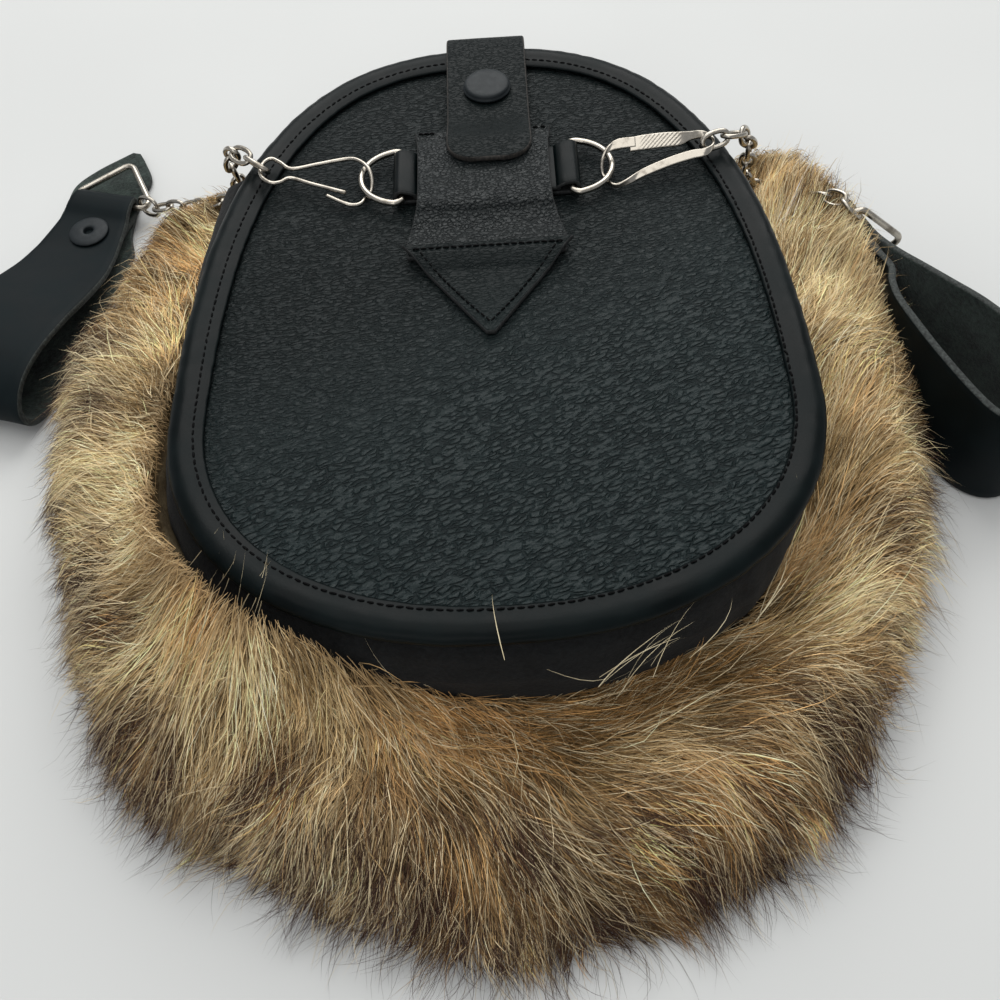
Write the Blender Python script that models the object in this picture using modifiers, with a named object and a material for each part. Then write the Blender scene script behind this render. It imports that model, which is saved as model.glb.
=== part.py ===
"""Sporran pouch lying face down on its fur, with a belt hanger clipped to each of its two D-rings.

Axes: +X to the right seen from the pouch's foot, +Y to its mouth, +Z up. The pouch's axis is x = 0,
its widest line is y = 0 and the surface that it lies on is z = 0. Tables hold millimetres.
"""
import math

import bmesh
import bpy
import numpy as np
from mathutils import Vector

MM = 0.001
GAP = 0.3                      # clearance between pieces that touch

# An egg outline is two half superellipses that meet at the widest line:
# half width, reach to the mouth, reach to the foot, power of the mouth half, power of the foot half
BACK_EGG = (82.5, 140.0, 66.0, 2.5, 2.2)
FRONT_EGG = (86.0, 130.0, 74.0, 3.0, 2.2)

EGG_SPANS = 52
EGG_SAMPLES = 721              # points read off an egg before they are evenly spaced
ROUTE_SAMPLES = 16             # points read off each stretch of a smooth route

BACK_TOP = 55.0                # height of the back panel's outer face
BACK_THICK = 2.2
BACK_INSET = 0.8               # the panel's cut edge stays this far inside its binding
FRONT_TOP = 15.3
FRONT_THICK = 2.5

# The binding's section: offset outward from the back outline, height over the back panel's face
BINDING_SECTION = [
    (-6.8, 1.1), (-1.5, 1.2), (1.0, 0.4), (1.7, -1.5), (1.0, -3.5), (-1.0, -4.2), (-5.5, -4.2), (-5.5, -2.5),
    (-0.45, -2.5), (-0.45, 0.3), (-6.8, 0.3),
]

# The gusset bows outward between the two panels, more to the left:
# height, half width, mouth reach, foot reach, mouth power, shift in x, y of its two ends
GUSSET_ROWS = [
    (49.7, 81.0, 155.0, 64.0, 2.7, -1.0, 92.0),
    (45.5, 84.0, 165.0, 67.0, 2.9, -2.5, 94.0),
    (37.0, 86.0, 172.0, 69.5, 3.0, -3.0, 96.0),
    (26.0, 84.5, 160.0, 69.0, 3.0, -1.5, 97.0),
    (16.1, 82.0, 146.0, 67.5, 3.0, 0.0, 97.0),
]
GUSSET_THICK = 1.6
GUSSET_SPANS = 36

FUR_MIDDLE = (0.0, 10.0)
FUR_BACKING = 12.4             # height of the pelt's flat back, under the front panel
# The pelt, from its middle, each 15 degrees counter-clockwise from +X: angle, reach of the hair,
# height of the hair where it stands highest, height of the hair beside the pouch
FUR_ROWS = [
    (0, 119, 36, 28), (15, 116, 36, 30), (30, 120, 32, 28), (45, 138, 25, 22), (60, 120, 12, FUR_BACKING),
    (75, 105.6, 12, FUR_BACKING), (90, 102, 12, FUR_BACKING), (105, 105.6, 12, FUR_BACKING),
    (120, 123, 12, FUR_BACKING), (135, 148, 23, 18), (150, 149, 30, 28), (165, 145, 36, 34),
    (180, 142, 38, 36), (195, 138, 38, 37), (210, 136, 37, 36), (225, 139, 35, 30), (240, 137, 31, 20),
    (255, 138, 27, 13), (270, 139, 26, FUR_BACKING), (285, 136, 27, FUR_BACKING), (300, 137, 30, FUR_BACKING),
    (315, 135, 33, 14), (330, 133, 35, 18), (345, 132, 36, 24),
]
FUR_LOCKS = 36
FUR_COLUMNS = 3                # columns of faces in each lock: valley, flank, ridge
FUR_CLEAR = 1.4                # the hair's inner edge stays this far outside the pouch
FUR_SHORTEST = 8.0             # width of the hair ring where the mouth's leather is over it
FUR_FULL = 14.0                # the hair has its full height where its ring is wider by this much
FUR_EGG_SPANS = 180
FUR_TIP_HEIGHT = 4.0
FUR_FOOT_HEIGHT = 1.4          # height of the hair's underside just inside its tips
FUR_FOOT_RELIEF = 0.3          # how far the locks lift that underside, for each share of their relief
# Shares of the reach: the pelt's flat back to the inner edge, the underside's two rings to the tips
FUR_BACK_SHARE = 0.93
FUR_FOOT_SHARE = 0.97
FUR_REST_SHARE = 0.90
# Across the hair ring: fraction from the seam to the tips, shares of the highest height and of the
# height beside the pouch
FUR_PROFILE = [(0.04, 0.0, 1.0), (0.22, 0.7, 0.3), (0.45, 1.0, 0.0), (0.75, 0.66, 0.0)]
FUR_SMOOTH_INSIDE = 0.33       # fraction of the ring over which the locks rise to their relief
LOCK_RELIEF = 2.2              # how far a lock's ridge stands over its valley
LOCK_REACH = 7.0               # how much farther a ridge's tip reaches than a valley
LOCK_KEPT = 0.3                # share of that reach which is left where the hair ring is narrowest
LOCK_SHAPE = [-1.0, 0.2, 1.0]  # a lock's valley, flank and ridge, as shares of its relief
LOCK_LEAN = 0.10               # radians that the hair turns towards the foot on its way out
# Locks differ from each other: waves round the pelt, share of the relief
LOCK_WAVES = [(7, 0.7), (17, 0.5), (29, 0.4)]

TAB_MIDDLE = 57.7              # middle height of the closure tab's flat stretch, under its snap
# The closure tab, from its rounded end over the rim to the front: y, middle height, half width
TAB_ROWS = [
    (81.0, 61.8, 3.5), (81.8, 61.8, 7.5), (83.8, 61.8, 10.8), (87.1, 61.8, 12.5), (91.0, 61.5, 12.7),
    (95.4, 60.1, 12.7), (101.4, 58.4, 12.7), (109.5, TAB_MIDDLE, 12.7), (125.0, TAB_MIDDLE, 12.7),
    (139.5, TAB_MIDDLE, 12.7),
    (144.5, 56.2, 12.7), (147.6, 52.4, 12.7), (149.0, 46.0, 12.7), (149.0, 34.0, 12.7), (147.6, 23.0, 12.7),
    (144.5, 15.0, 12.7), (139.0, 11.6, 12.7), (130.0, 11.1, 12.7), (116.0, 11.1, 12.7),
]
TAB_THICK = 1.8
TAB_SHIFT = 2.0
SNAP_Y = 117.0
# Radius and height of the snap's cap, from its top
SNAP_PROFILE = [(0.0, 2.4), (4.5, 2.3), (6.7, 1.7), (7.5, 0.9), (7.5, 0.3), (7.1, 0.0), (0.0, 0.0)]
SNAP_STEPS = 20

# The keeper over the D-ring strap, from its stitched end down: y, middle height, half width
KEEPER_ROWS = [
    (100.8, 56.1, 20.8), (96.0, 56.2, 20.3), (90.8, 59.5, 19.7), (80.2, 59.6, 19.5), (68.0, 59.5, 19.6),
    (64.5, 57.6, 20.4), (59.5, 56.1, 21.6), (54.5, 56.1, 22.8), (48.5, 56.1, 22.4),
]
KEEPER_THICK = 1.6
# The triangular patch below it: y, middle height, half width
PATCH_ROWS = [
    (51.8, 58.1, 24.3), (48.4, 58.1, 21.6), (44.8, 57.3, 19.1), (41.4, 56.3, 16.6), (31.0, 56.2, 9.0),
    (20.2, 56.2, 1.2),
]
PATCH_THICK = 1.8
PATCH_SHIFT = 0.3

STRAP_THICK = 1.3
STRAP_END = 0.5                # the strip's two ends meet this far from the middle, under the keeper
STRAP_LOOP_POINTS = 7
# Its slope from a ring's loop down to the layer under the keeper: distance from the middle, height over it
STRAP_SLOPE = [(22.4, 1.5), (20.3, 0.2), (18.5, 0.0)]
STRAP_LOW = (71.5, 89.5)       # the D-ring strap's two edges in y
BAR_LEFT = -24.3               # x of each D-ring's straight bar
BAR_RIGHT = 25.7
RING_HEIGHT = 57.85            # height of the D-rings' wire
RING_WIRE = 0.95               # wire radius of the D-rings
D_HALF_BAR = 11.0
D_DEPTH = 12.1
D_CORNER = 0.16                # radians left out of the bow beside the bar, which rounds the corner
D_BOW_POINTS = 15
D_BAR_POINTS = 4
D_BAR_SHARE = 0.9              # share of the bar that is straight

# The left clip, one bent wire from end to end: x, y, z
CLIP_LEFT_PATH = [
    (-46.2, 74.7, 57.6), (-42.5, 72.6, 57.1), (-39.4, 71.5, 56.5), (-36.8, 72.0, 56.2), (-35.0, 74.4, 56.2),
    (-33.6, 76.8, 56.4), (-33.1, 79.4, 58.0), (-33.7, 82.0, 59.7), (-35.6, 84.6, 60.3), (-38.6, 86.8, 60.2),
    (-42.5, 87.3, 59.7), (-49.3, 86.4, 59.4), (-57.1, 85.1, 59.4), (-60.7, 88.0, 59.5), (-63.6, 89.9, 59.6),
    (-65.8, 88.3, 59.6), (-66.6, 85.0, 59.6), (-65.6, 81.8, 59.6), (-62.8, 79.4, 59.6), (-60.2, 79.8, 59.3),
    (-57.3, 81.6, 59.0), (-50.9, 78.7, 58.9), (-41.0, 74.4, 58.8),
]
CLIP_LEFT_WIRE = 0.6
CLIP_SPANS = 38
# The right clip, one bent spring band: x, y, z, width of the band
CLIP_RIGHT_PATH = [
    (44.6, 81.0, 59.6, 3.6), (49.0, 81.7, 59.6, 4.4), (54.0, 82.6, 59.6, 4.4), (58.6, 84.0, 59.7, 4.4),
    (62.0, 86.4, 59.9, 3.0), (65.2, 87.6, 59.9, 2.4), (67.6, 85.8, 60.3, 1.4), (67.6, 82.6, 60.3, 1.4),
    (65.4, 80.0, 59.8, 2.4), (61.5, 79.4, 59.4, 2.6), (55.0, 78.0, 59.0, 2.6), (47.0, 75.2, 58.0, 2.2),
    (41.0, 73.0, 56.8, 1.6), (38.2, 73.1, 56.1, 1.4), (36.2, 75.0, 56.0, 1.4), (34.9, 77.6, 56.6, 1.4),
    (34.9, 80.2, 59.2, 1.4), (36.6, 83.0, 60.9, 1.4), (39.8, 85.0, 60.9, 1.6), (47.8, 86.0, 60.7, 2.4),
]
CLIP_RIGHT_THICK = 0.8

# The chains, from clip to ring: x, y, z of points on a smooth route
CHAIN_LEFT_PATH = [
    (-64.9, 84.9, 59.6), (-71.6, 90.2, 60.5), (-76.4, 95.2, 58.8), (-79.0, 98.6, 52.5), (-80.0, 101.5, 45.5),
    (-81.5, 106.0, 36.0), (-88.0, 112.5, 25.0), (-99.0, 119.0, 17.5), (-110.0, 124.5, 12.5),
    (-121.7, 129.5, 7.9), (-128.5, 133.1, 6.2),
]
CHAIN_RIGHT_PATH = [
    (65.3, 84.1, 59.9), (72.0, 85.6, 61.0), (77.2, 88.6, 58.9), (80.6, 93.0, 52.6), (82.6, 96.4, 45.4),
    (84.5, 101.0, 34.5), (88.5, 104.5, 25.0), (95.5, 103.5, 21.0), (101.5, 97.5, 24.5),
    (105.9, 90.0, 31.0), (110.6, 84.2, 35.4), (116.0, 79.3, 31.9),
]
CHAIN_LINKS = 15
LINK_WIRE = 0.75               # wire radius of a link
LINK_BITE = 0.22               # links that bear on each other meet by this much, as one body
LINK_HALF_WIDTH = 2.2          # to the wire's middle
END_LINK_HALF_WIDTH = 3.7      # of the rounder link on the hanger's ring
LINK_ROLLS = {"left": (1.1, 1.73), "right": (1.05, 2.48)}      # radians, first and last link
LINK_POINTS = 10
LINK_POWER = 2.6               # power of the link's superellipse

# A belt hanger's strap, from its wrapped end round the ring's bar, out, round and back to its tip.
# The left one lies flat: distance from the bar, height, width, shift to the pouch's side
HANGER_LEFT_ROWS = [
    (23.0, 4.1, 22.0, 0.0), (12.0, 4.1, 22.6, -1.0), (0.0, 4.1, 23.4, -1.5), (-1.84, 4.86, 22.8, -1.2),
    (-2.6, 6.7, 22.2, -1.1), (-1.84, 8.54, 22.8, -1.2), (0.0, 9.3, 23.8, -1.6), (5.0, 8.7, 25.0, -1.7),
    (10.0, 7.1, 26.0, -1.5), (23.0, 6.9, 30.0, -1.0), (30.0, 7.9, 32.0, -0.5), (38.0, 9.8, 34.0, 0.0),
    (50.0, 13.6, 36.5, 0.0), (62.0, 17.2, 37.0, 0.0), (76.0, 20.0, 37.0, 0.0), (86.0, 20.2, 37.0, 0.0),
    (93.0, 18.0, 37.0, 0.0), (97.4, 13.4, 37.0, 0.0), (97.8, 8.6, 37.0, 0.0), (94.4, 4.0, 37.0, 0.0),
    (88.0, 1.8, 37.0, 0.0), (78.0, 1.5, 37.0, 0.0), (64.0, 1.5, 37.0, 0.0), (50.0, 1.5, 36.6, 0.0),
    (38.0, 1.5, 36.8, 0.0), (28.0, 1.5, 37.0, 0.0), (18.0, 1.5, 35.0, -1.5), (10.0, 1.5, 31.0, -4.0),
    (0.0, 1.5, 29.0, -6.0), (-10.0, 1.5, 28.0, -7.5), (-19.5, 1.5, 23.0, -5.5), (-28.0, 1.5, 10.0, -5.5),
    (-32.0, 1.5, 3.0, -5.8),
]
# The right one stands on edge: distance from the bar, bow away from the pouch, width, shift upward
HANGER_RIGHT_ROWS = [
    (23.0, 2.6, 18.0, 0.0), (12.0, 2.6, 19.0, 0.0), (0.0, 2.6, 20.0, 0.0), (-1.84, 1.84, 20.0, 0.0),
    (-2.6, 0.0, 20.0, 0.0), (-1.84, -1.84, 20.0, 0.0), (0.0, -2.6, 20.5, 0.0), (5.0, -1.8, 21.5, 0.0),
    (10.0, -0.4, 23.0, 0.0), (23.0, -0.4, 27.0, 0.0), (30.0, -4.6, 30.5, 0.0), (38.0, -7.8, 34.0, 0.0),
    (50.0, -9.2, 36.5, 0.0), (62.0, -9.4, 37.0, 0.0), (76.0, -8.6, 37.0, 0.0), (84.0, -7.0, 37.0, 0.0),
    (89.8, -3.0, 37.0, 0.0), (92.0, 2.5, 37.0, 0.0), (90.5, 8.5, 37.0, 0.0), (85.0, 13.0, 37.0, 0.0),
    (76.0, 15.6, 37.0, 0.0), (64.0, 15.8, 37.0, 0.0), (50.0, 13.0, 36.5, 0.0), (38.0, 9.4, 34.0, 0.0),
    (28.0, 7.2, 30.0, 0.0), (18.0, 5.8, 24.5, 0.0), (8.0, 5.3, 19.5, 0.0), (0.0, 5.3, 18.6, 0.0),
    (-8.0, 4.8, 19.6, 0.0), (-16.0, 3.2, 19.6, 0.0), (-21.0, 1.6, 17.0, 0.0), (-25.0, 0.0, 9.0, 0.0),
    (-27.0, -0.8, 3.0, 0.0),
]
HANGER_THICK = 2.3
HANGER_LEFT_BAR = (-140.5, 134.5)
HANGER_LEFT_ALONG = (-0.28, -0.96)
HANGER_RIGHT_BAR = (114.3, 80.4)
HANGER_RIGHT_ALONG = (0.326, -0.945)
HANGER_RIGHT_MIDDLE = 18.9     # height of the right strap's middle line, as it stands on edge
BAR_HEIGHT = 6.7

TRIANGLE_BASE = 35.0           # the hanger ring's straight bar
TRIANGLE_DEPTH = 20.0
RING_TURN_RIGHT = 0.3          # how far the right ring turns along its strap from straight out
RING_RISE_LEFT = 0.08          # how far the left ring slopes up over the strap's tip
TRIANGLE_WIRE = 1.1            # wire radius
TRIANGLE_ROUND = 1.7           # radius of its three corners
TRIANGLE_CORNER_POINTS = 5
# Radius and height of the snap's eyelet, round its hole
LOOP_SNAP_PROFILE = [(1.8, 0.9), (2.6, 1.1), (5.2, 0.9), (6.4, 0.3), (6.4, 0.0), (1.8, 0.0)]
LOOP_SNAP_STEPS = 16
LOOP_SNAP_MIDDLE = {"left": 7.1, "right": 0.4}       # the strap's middle line there, from the hanger's origin
LOOP_SNAP_ALONG = 16.5         # distance of the snap from the ring's bar

# Principled BSDF values: colour, roughness, metallic
FINISHES = {
    "grained_leather": ((0.016, 0.018, 0.019), 0.50, 0.0),
    "smooth_leather": ((0.020, 0.022, 0.023), 0.42, 0.0),
    "suede": ((0.030, 0.036, 0.033), 0.95, 0.0),
    "fur_hair": ((0.46, 0.33, 0.19), 0.85, 0.0),
    "dark_snap": ((0.035, 0.036, 0.038), 0.55, 0.6),
    "nickel": ((0.62, 0.60, 0.56), 0.28, 1.0),
}


def clear_scene():
    for item in list(bpy.data.objects):
        bpy.data.objects.remove(item, do_unlink=True)


def finish_material(name):
    """A Principled BSDF material from the finishes table, made once."""
    found = bpy.data.materials.get(name)
    if found:
        return found
    color, roughness, metallic = FINISHES[name]
    material = bpy.data.materials.new(name)
    material.use_nodes = True
    shader = material.node_tree.nodes["Principled BSDF"]
    shader.inputs["Base Color"].default_value = (*color, 1.0)
    shader.inputs["Roughness"].default_value = roughness
    shader.inputs["Metallic"].default_value = metallic
    material.diffuse_color = (*color, 1.0)
    return material


def new_object(name, data, finish):
    """Link a named object to the sporran's collection and give it its finish."""
    item = bpy.data.objects.new(name, data)
    sporran.objects.link(item)
    data.materials.append(finish_material(finish))
    return item


def mesh_from(name, vertices, faces, finish):
    """An object from vertices in millimetres, with its faces turned outward."""
    mesh = bpy.data.meshes.new(name)
    mesh.from_pydata([Vector(point) * MM for point in vertices], [], faces)
    work = bmesh.new()
    work.from_mesh(mesh)
    bmesh.ops.recalc_face_normals(work, faces=work.faces)
    work.to_mesh(mesh)
    work.free()
    return new_object(name, mesh, finish)


def smooth_route(points, spans):
    """Catmull-Rom points through the given ones, evenly spaced along the route."""
    knots = np.array([points[0]] + list(points) + [points[-1]], dtype=float)
    dense = []
    for i in range(1, len(knots) - 2):
        a, b, c, d = knots[i - 1:i + 3]
        for t in np.linspace(0.0, 1.0, ROUTE_SAMPLES, endpoint=False):
            dense.append(0.5 * (2 * b + (c - a) * t + (2 * a - 5 * b + 4 * c - d) * t ** 2
                                + (3 * b - a - 3 * c + d) * t ** 3))
    dense.append(knots[-1])
    return even_points(np.array(dense), spans)


def even_points(dense, spans):
    """Resample a polyline to evenly spaced points."""
    steps = np.linalg.norm(np.diff(dense[:, :3], axis=0), axis=1)
    reach = np.concatenate([[0.0], np.cumsum(steps)])
    wanted = np.linspace(0.0, reach[-1], spans + 1)
    return np.stack([np.interp(wanted, reach, dense[:, k]) for k in range(dense.shape[1])], axis=1)


def egg_point(egg, turn):
    half_width, mouth, foot, mouth_power, foot_power = egg
    reach, power = (mouth, mouth_power) if math.sin(turn) >= 0 else (foot, foot_power)
    x = half_width * math.copysign(abs(math.cos(turn)) ** (2 / power), math.cos(turn))
    y = reach * math.copysign(abs(math.sin(turn)) ** (2 / power), math.sin(turn))
    return x, y


def egg_outline(egg, spans, offset=0.0):
    """Evenly spaced points round an egg, counter-clockwise, moved outward by offset."""
    dense = np.array([egg_point(egg, turn) for turn in np.linspace(0, 2 * math.pi, EGG_SAMPLES)])
    ring = even_points(dense, spans)[:-1]
    along = np.roll(ring, -1, axis=0) - np.roll(ring, 1, axis=0)
    outward = np.stack([along[:, 1], -along[:, 0]], axis=1)
    outward /= np.linalg.norm(outward, axis=1)[:, None]
    return ring + outward * offset


def egg_arc(egg, end_y, shift, spans):
    """The egg's foot side as an open arc, from its left end at end_y round to its right end."""
    end = math.asin((end_y / egg[1]) ** (egg[3] / 2))
    turns = np.linspace(math.pi - end, 2 * math.pi + end, EGG_SAMPLES)
    dense = np.array([egg_point(egg, turn) for turn in turns])
    return even_points(dense, spans) + np.array([shift, 0.0])


def plate(name, outline, low, high, finish):
    """A flat outline as a filled 2D curve with thickness."""
    curve = bpy.data.curves.new(name, "CURVE")
    curve.dimensions = "2D"
    curve.fill_mode = "BOTH"
    curve.extrude = (high - low) / 2 * MM
    spline = curve.splines.new("POLY")
    spline.points.add(len(outline) - 1)
    for point, (x, y) in zip(spline.points, outline):
        point.co = (x * MM, y * MM, 0.0, 1.0)
    spline.use_cyclic_u = True
    item = new_object(name, curve, finish)
    item.location.z = (high + low) / 2 * MM
    return item


def wire(name, points, radius, finish, closed=False):
    """A round wire along points, with its ends filled."""
    curve = bpy.data.curves.new(name, "CURVE")
    curve.dimensions = "3D"
    curve.bevel_depth = radius * MM
    curve.bevel_resolution = 1
    curve.use_fill_caps = not closed
    spline = curve.splines.new("POLY")
    spline.points.add(len(points) - 1)
    for point, place in zip(spline.points, points):
        point.co = (*(Vector(place) * MM), 1.0)
    spline.use_cyclic_u = closed
    return new_object(name, curve, finish)


def sheet(name, rows, thickness, finish):
    """A leather sheet: a grid of points on its middle surface, thickened to both sides."""
    rows = [list(row) for row in rows]
    across = len(rows[0])
    vertices = [point for row in rows for point in row]
    faces = [(r * across + c, r * across + c + 1, (r + 1) * across + c + 1, (r + 1) * across + c)
             for r in range(len(rows) - 1) for c in range(across - 1)]
    item = mesh_from(name, vertices, faces, finish)
    solidify = item.modifiers.new("thickness", "SOLIDIFY")
    solidify.thickness = thickness * MM
    solidify.offset = 0.0
    solidify.use_even_offset = True
    return item


def strip_rows(rows, shift=0.0):
    """Left and right points of a strip that runs along Y, from rows of y, height, half width."""
    return [((shift - half, y, z), (shift + half, y, z)) for y, z, half in rows]


def turned(name, profile, place, finish, steps):
    """A turned piece: its profile of radius and height, from top to bottom, spun round the axis at place."""
    count = len(profile)
    edges = [(k, k + 1) for k in range(count - 1)]
    if profile[0][0] > 0:
        edges.append((count - 1, 0))
    mesh = bpy.data.meshes.new(name)
    mesh.from_pydata([(r * MM, 0.0, z * MM) for r, z in profile], edges, [])
    item = new_object(name, mesh, finish)
    screw = item.modifiers.new("turn", "SCREW")
    screw.steps = steps
    screw.render_steps = steps
    screw.use_merge_vertices = True
    screw.merge_threshold = 0.00001
    screw.use_normal_calculate = True
    item.location = Vector(place) * MM
    return item


def make_panels():
    back = egg_outline(BACK_EGG, EGG_SPANS, -BACK_INSET)
    front = egg_outline(FRONT_EGG, EGG_SPANS)
    plate("back_panel", back, BACK_TOP - BACK_THICK, BACK_TOP, "grained_leather")
    plate("front_panel", front, FRONT_TOP - FRONT_THICK, FRONT_TOP, "smooth_leather")


def make_binding():
    """A folded strip whose U section runs all round the back panel's edge."""
    rings = [egg_outline(BACK_EGG, EGG_SPANS, out) for out, _ in BINDING_SECTION]
    count, around = len(rings), len(rings[0])
    vertices = [(*rings[k][i], BACK_TOP + BINDING_SECTION[k][1]) for k in range(count) for i in range(around)]
    faces = []
    for k in range(count):
        for i in range(around):
            after, beside = (k + 1) % count, (i + 1) % around
            faces.append((k * around + i, k * around + beside, after * around + beside, after * around + i))
    mesh_from("back_binding", vertices, faces, "smooth_leather")


def make_gusset():
    rows = []
    for height, half_width, mouth, foot, power, shift, end_y in GUSSET_ROWS:
        arc = egg_arc((half_width, mouth, foot, power, BACK_EGG[4]), end_y, shift, GUSSET_SPANS)
        rows.append([(x, y, height) for x, y in arc])
    sheet("gusset", rows, GUSSET_THICK, "suede")


def polar_reach(outline, angles):
    """How far an outline reaches from the pelt's middle in each direction."""
    away = np.array(outline) - np.array(FUR_MIDDLE)
    turn = np.arctan2(away[:, 1], away[:, 0])
    order = np.argsort(turn)
    return np.interp(angles, turn[order], np.linalg.norm(away, axis=1)[order], period=2 * math.pi)


def make_fur():
    """The pelt: a flat back under the front panel, and a ring of hair in locks that rises round the pouch."""
    columns = FUR_LOCKS * FUR_COLUMNS
    angles = np.arange(columns) * 2 * math.pi / columns
    table = np.array(FUR_ROWS, dtype=float)
    reach = np.interp(angles, np.radians(table[:, 0]), table[:, 1], period=2 * math.pi)
    crest = np.interp(angles, np.radians(table[:, 0]), table[:, 2], period=2 * math.pi)
    beside = np.interp(angles, np.radians(table[:, 0]), table[:, 3], period=2 * math.pi)
    bowed = max(GUSSET_ROWS, key=lambda row: row[1])
    wall_egg = (bowed[1] + FUR_CLEAR, bowed[2], bowed[3] + FUR_CLEAR, bowed[4], BACK_EGG[4])
    wall = polar_reach(egg_outline(wall_egg, FUR_EGG_SPANS) + np.array([bowed[5], 0.0]), angles)
    seam = polar_reach(egg_outline(FRONT_EGG, FUR_EGG_SPANS, FUR_CLEAR), angles)
    pouch = np.maximum(wall, seam)
    inner = np.minimum(pouch, reach - FUR_SHORTEST)
    room = np.clip((reach - pouch - FUR_SHORTEST) / FUR_FULL, 0.0, 1.0)
    crest = FUR_BACKING + (crest - FUR_BACKING) * room
    beside = FUR_BACKING + (beside - FUR_BACKING) * room
    uneven = sum(share * np.sin(waves * angles + waves) for waves, share in LOCK_WAVES)
    ridge = np.array(LOCK_SHAPE * FUR_LOCKS) + uneven

    def ring(radius, height, lean=0.0):
        turned_by = angles - lean * np.cos(angles)
        return [(FUR_MIDDLE[0] + r * math.cos(a), FUR_MIDDLE[1] + r * math.sin(a), z)
                for r, a, z in zip(radius, turned_by, height)]

    flat = np.full(columns, FUR_BACKING)
    rings = [ring(inner * FUR_BACK_SHARE, flat), ring(inner, flat)]
    for across, crest_share, beside_share in FUR_PROFILE:
        height = crest * crest_share + beside * beside_share
        relief = ridge * LOCK_RELIEF * room * min(1.0, across / FUR_SMOOTH_INSIDE)
        rings.append(ring(inner + across * (reach - inner), height + relief, LOCK_LEAN * across))
    tips = reach + ridge * LOCK_REACH / 2 * (LOCK_KEPT + (1 - LOCK_KEPT) * room) - LOCK_REACH / 2
    rings.append(ring(tips, np.full(columns, FUR_TIP_HEIGHT) + ridge, LOCK_LEAN))
    foot = np.full(columns, FUR_FOOT_HEIGHT) + ridge * FUR_FOOT_RELIEF
    rings.append(ring(tips * FUR_FOOT_SHARE, foot, LOCK_LEAN))
    rings.append(ring(tips * FUR_REST_SHARE, np.zeros(columns), LOCK_LEAN))
    vertices = [point for points in rings for point in points]
    last = (len(rings) - 1) * columns
    faces = [tuple(range(columns)), tuple(last + i for i in range(columns))]
    for start in range(0, last, columns):
        for i in range(columns):
            here, next_one = start + i, start + (i + 1) % columns
            faces.append((here, next_one, next_one + columns, here + columns))
    mesh_from("fur", vertices, faces, "fur_hair")


def make_tab():
    sheet("closure_tab", strip_rows(TAB_ROWS, TAB_SHIFT), TAB_THICK, "grained_leather")
    rest = TAB_MIDDLE + TAB_THICK / 2 + GAP
    turned("tab_snap_cap", SNAP_PROFILE, (TAB_SHIFT, SNAP_Y, rest), "dark_snap", SNAP_STEPS)


def make_keeper():
    sheet("keeper", strip_rows(KEEPER_ROWS), KEEPER_THICK, "grained_leather")
    sheet("keeper_patch", strip_rows(PATCH_ROWS, PATCH_SHIFT), PATCH_THICK, "grained_leather")


def make_d_ring_strap():
    """One strip under the keeper that loops round the bar of each D-ring."""
    low = BACK_TOP + GAP + STRAP_THICK / 2
    radius = RING_HEIGHT - low
    under_keeper = low + STRAP_THICK + GAP
    middle = (BAR_LEFT + BAR_RIGHT) / 2
    half = []
    for turn in np.linspace(-math.pi / 2, math.pi / 2, STRAP_LOOP_POINTS):
        half.append((BAR_RIGHT - middle + radius * math.cos(turn), RING_HEIGHT + radius * math.sin(turn)))
    slope = [(x, under_keeper + height) for x, height in STRAP_SLOPE]
    right = [(STRAP_END, low)] + half + slope
    path = [(middle + x, z) for x, z in right] + [(middle - x, z) for x, z in reversed(right)]
    sheet("d_ring_strap", [((x, STRAP_LOW[0], z), (x, STRAP_LOW[1], z)) for x, z in path], STRAP_THICK,
          "smooth_leather")


def make_d_ring(name, bar_x, side):
    """A D of wire: a straight bar along Y and a round bow on the given side."""
    middle_y = sum(STRAP_LOW) / 2
    straight = np.linspace(D_BAR_SHARE, -D_BAR_SHARE, D_BAR_POINTS)
    points = [(bar_x, middle_y - D_HALF_BAR * t, RING_HEIGHT) for t in straight]
    quarter = math.pi / 2 - D_CORNER
    for turn in np.linspace(quarter, -quarter, D_BOW_POINTS):
        reach = bar_x + side * D_DEPTH * math.cos(turn)
        points.append((reach, middle_y + D_HALF_BAR * math.sin(turn), RING_HEIGHT))
    wire(name, points, RING_WIRE, "nickel", closed=True)


def make_clips():
    wire("clip_left", smooth_route(CLIP_LEFT_PATH, CLIP_SPANS), CLIP_LEFT_WIRE, "nickel")
    band = smooth_route(CLIP_RIGHT_PATH, CLIP_SPANS)
    rows = [((x, y, z - width / 2), (x, y, z + width / 2)) for x, y, z, width in band]
    sheet("clip_right", rows, CLIP_RIGHT_THICK, "nickel")


def chain_link(name, start, end, roll, half_width):
    """One oval link whose wire reaches past both of its bearing points."""
    start, end = Vector(start), Vector(end)
    along = (end - start).normalized()
    side = along.cross(Vector((0, 0, 1))).normalized()
    side = side * math.cos(roll) + along.cross(side) * math.sin(roll)
    middle = (start + end) / 2
    half_length = (end - start).length / 2 + LINK_WIRE - LINK_BITE
    points = []
    flat = 2 / LINK_POWER
    for k in range(LINK_POINTS):
        turn = 2 * math.pi * (k + 0.5) / LINK_POINTS
        u = half_length * math.copysign(abs(math.cos(turn)) ** flat, math.cos(turn))
        v = half_width * math.copysign(abs(math.sin(turn)) ** flat, math.sin(turn))
        points.append(middle + along * u + side * v)
    return wire(name, points, LINK_WIRE, "nickel", closed=True)


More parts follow.
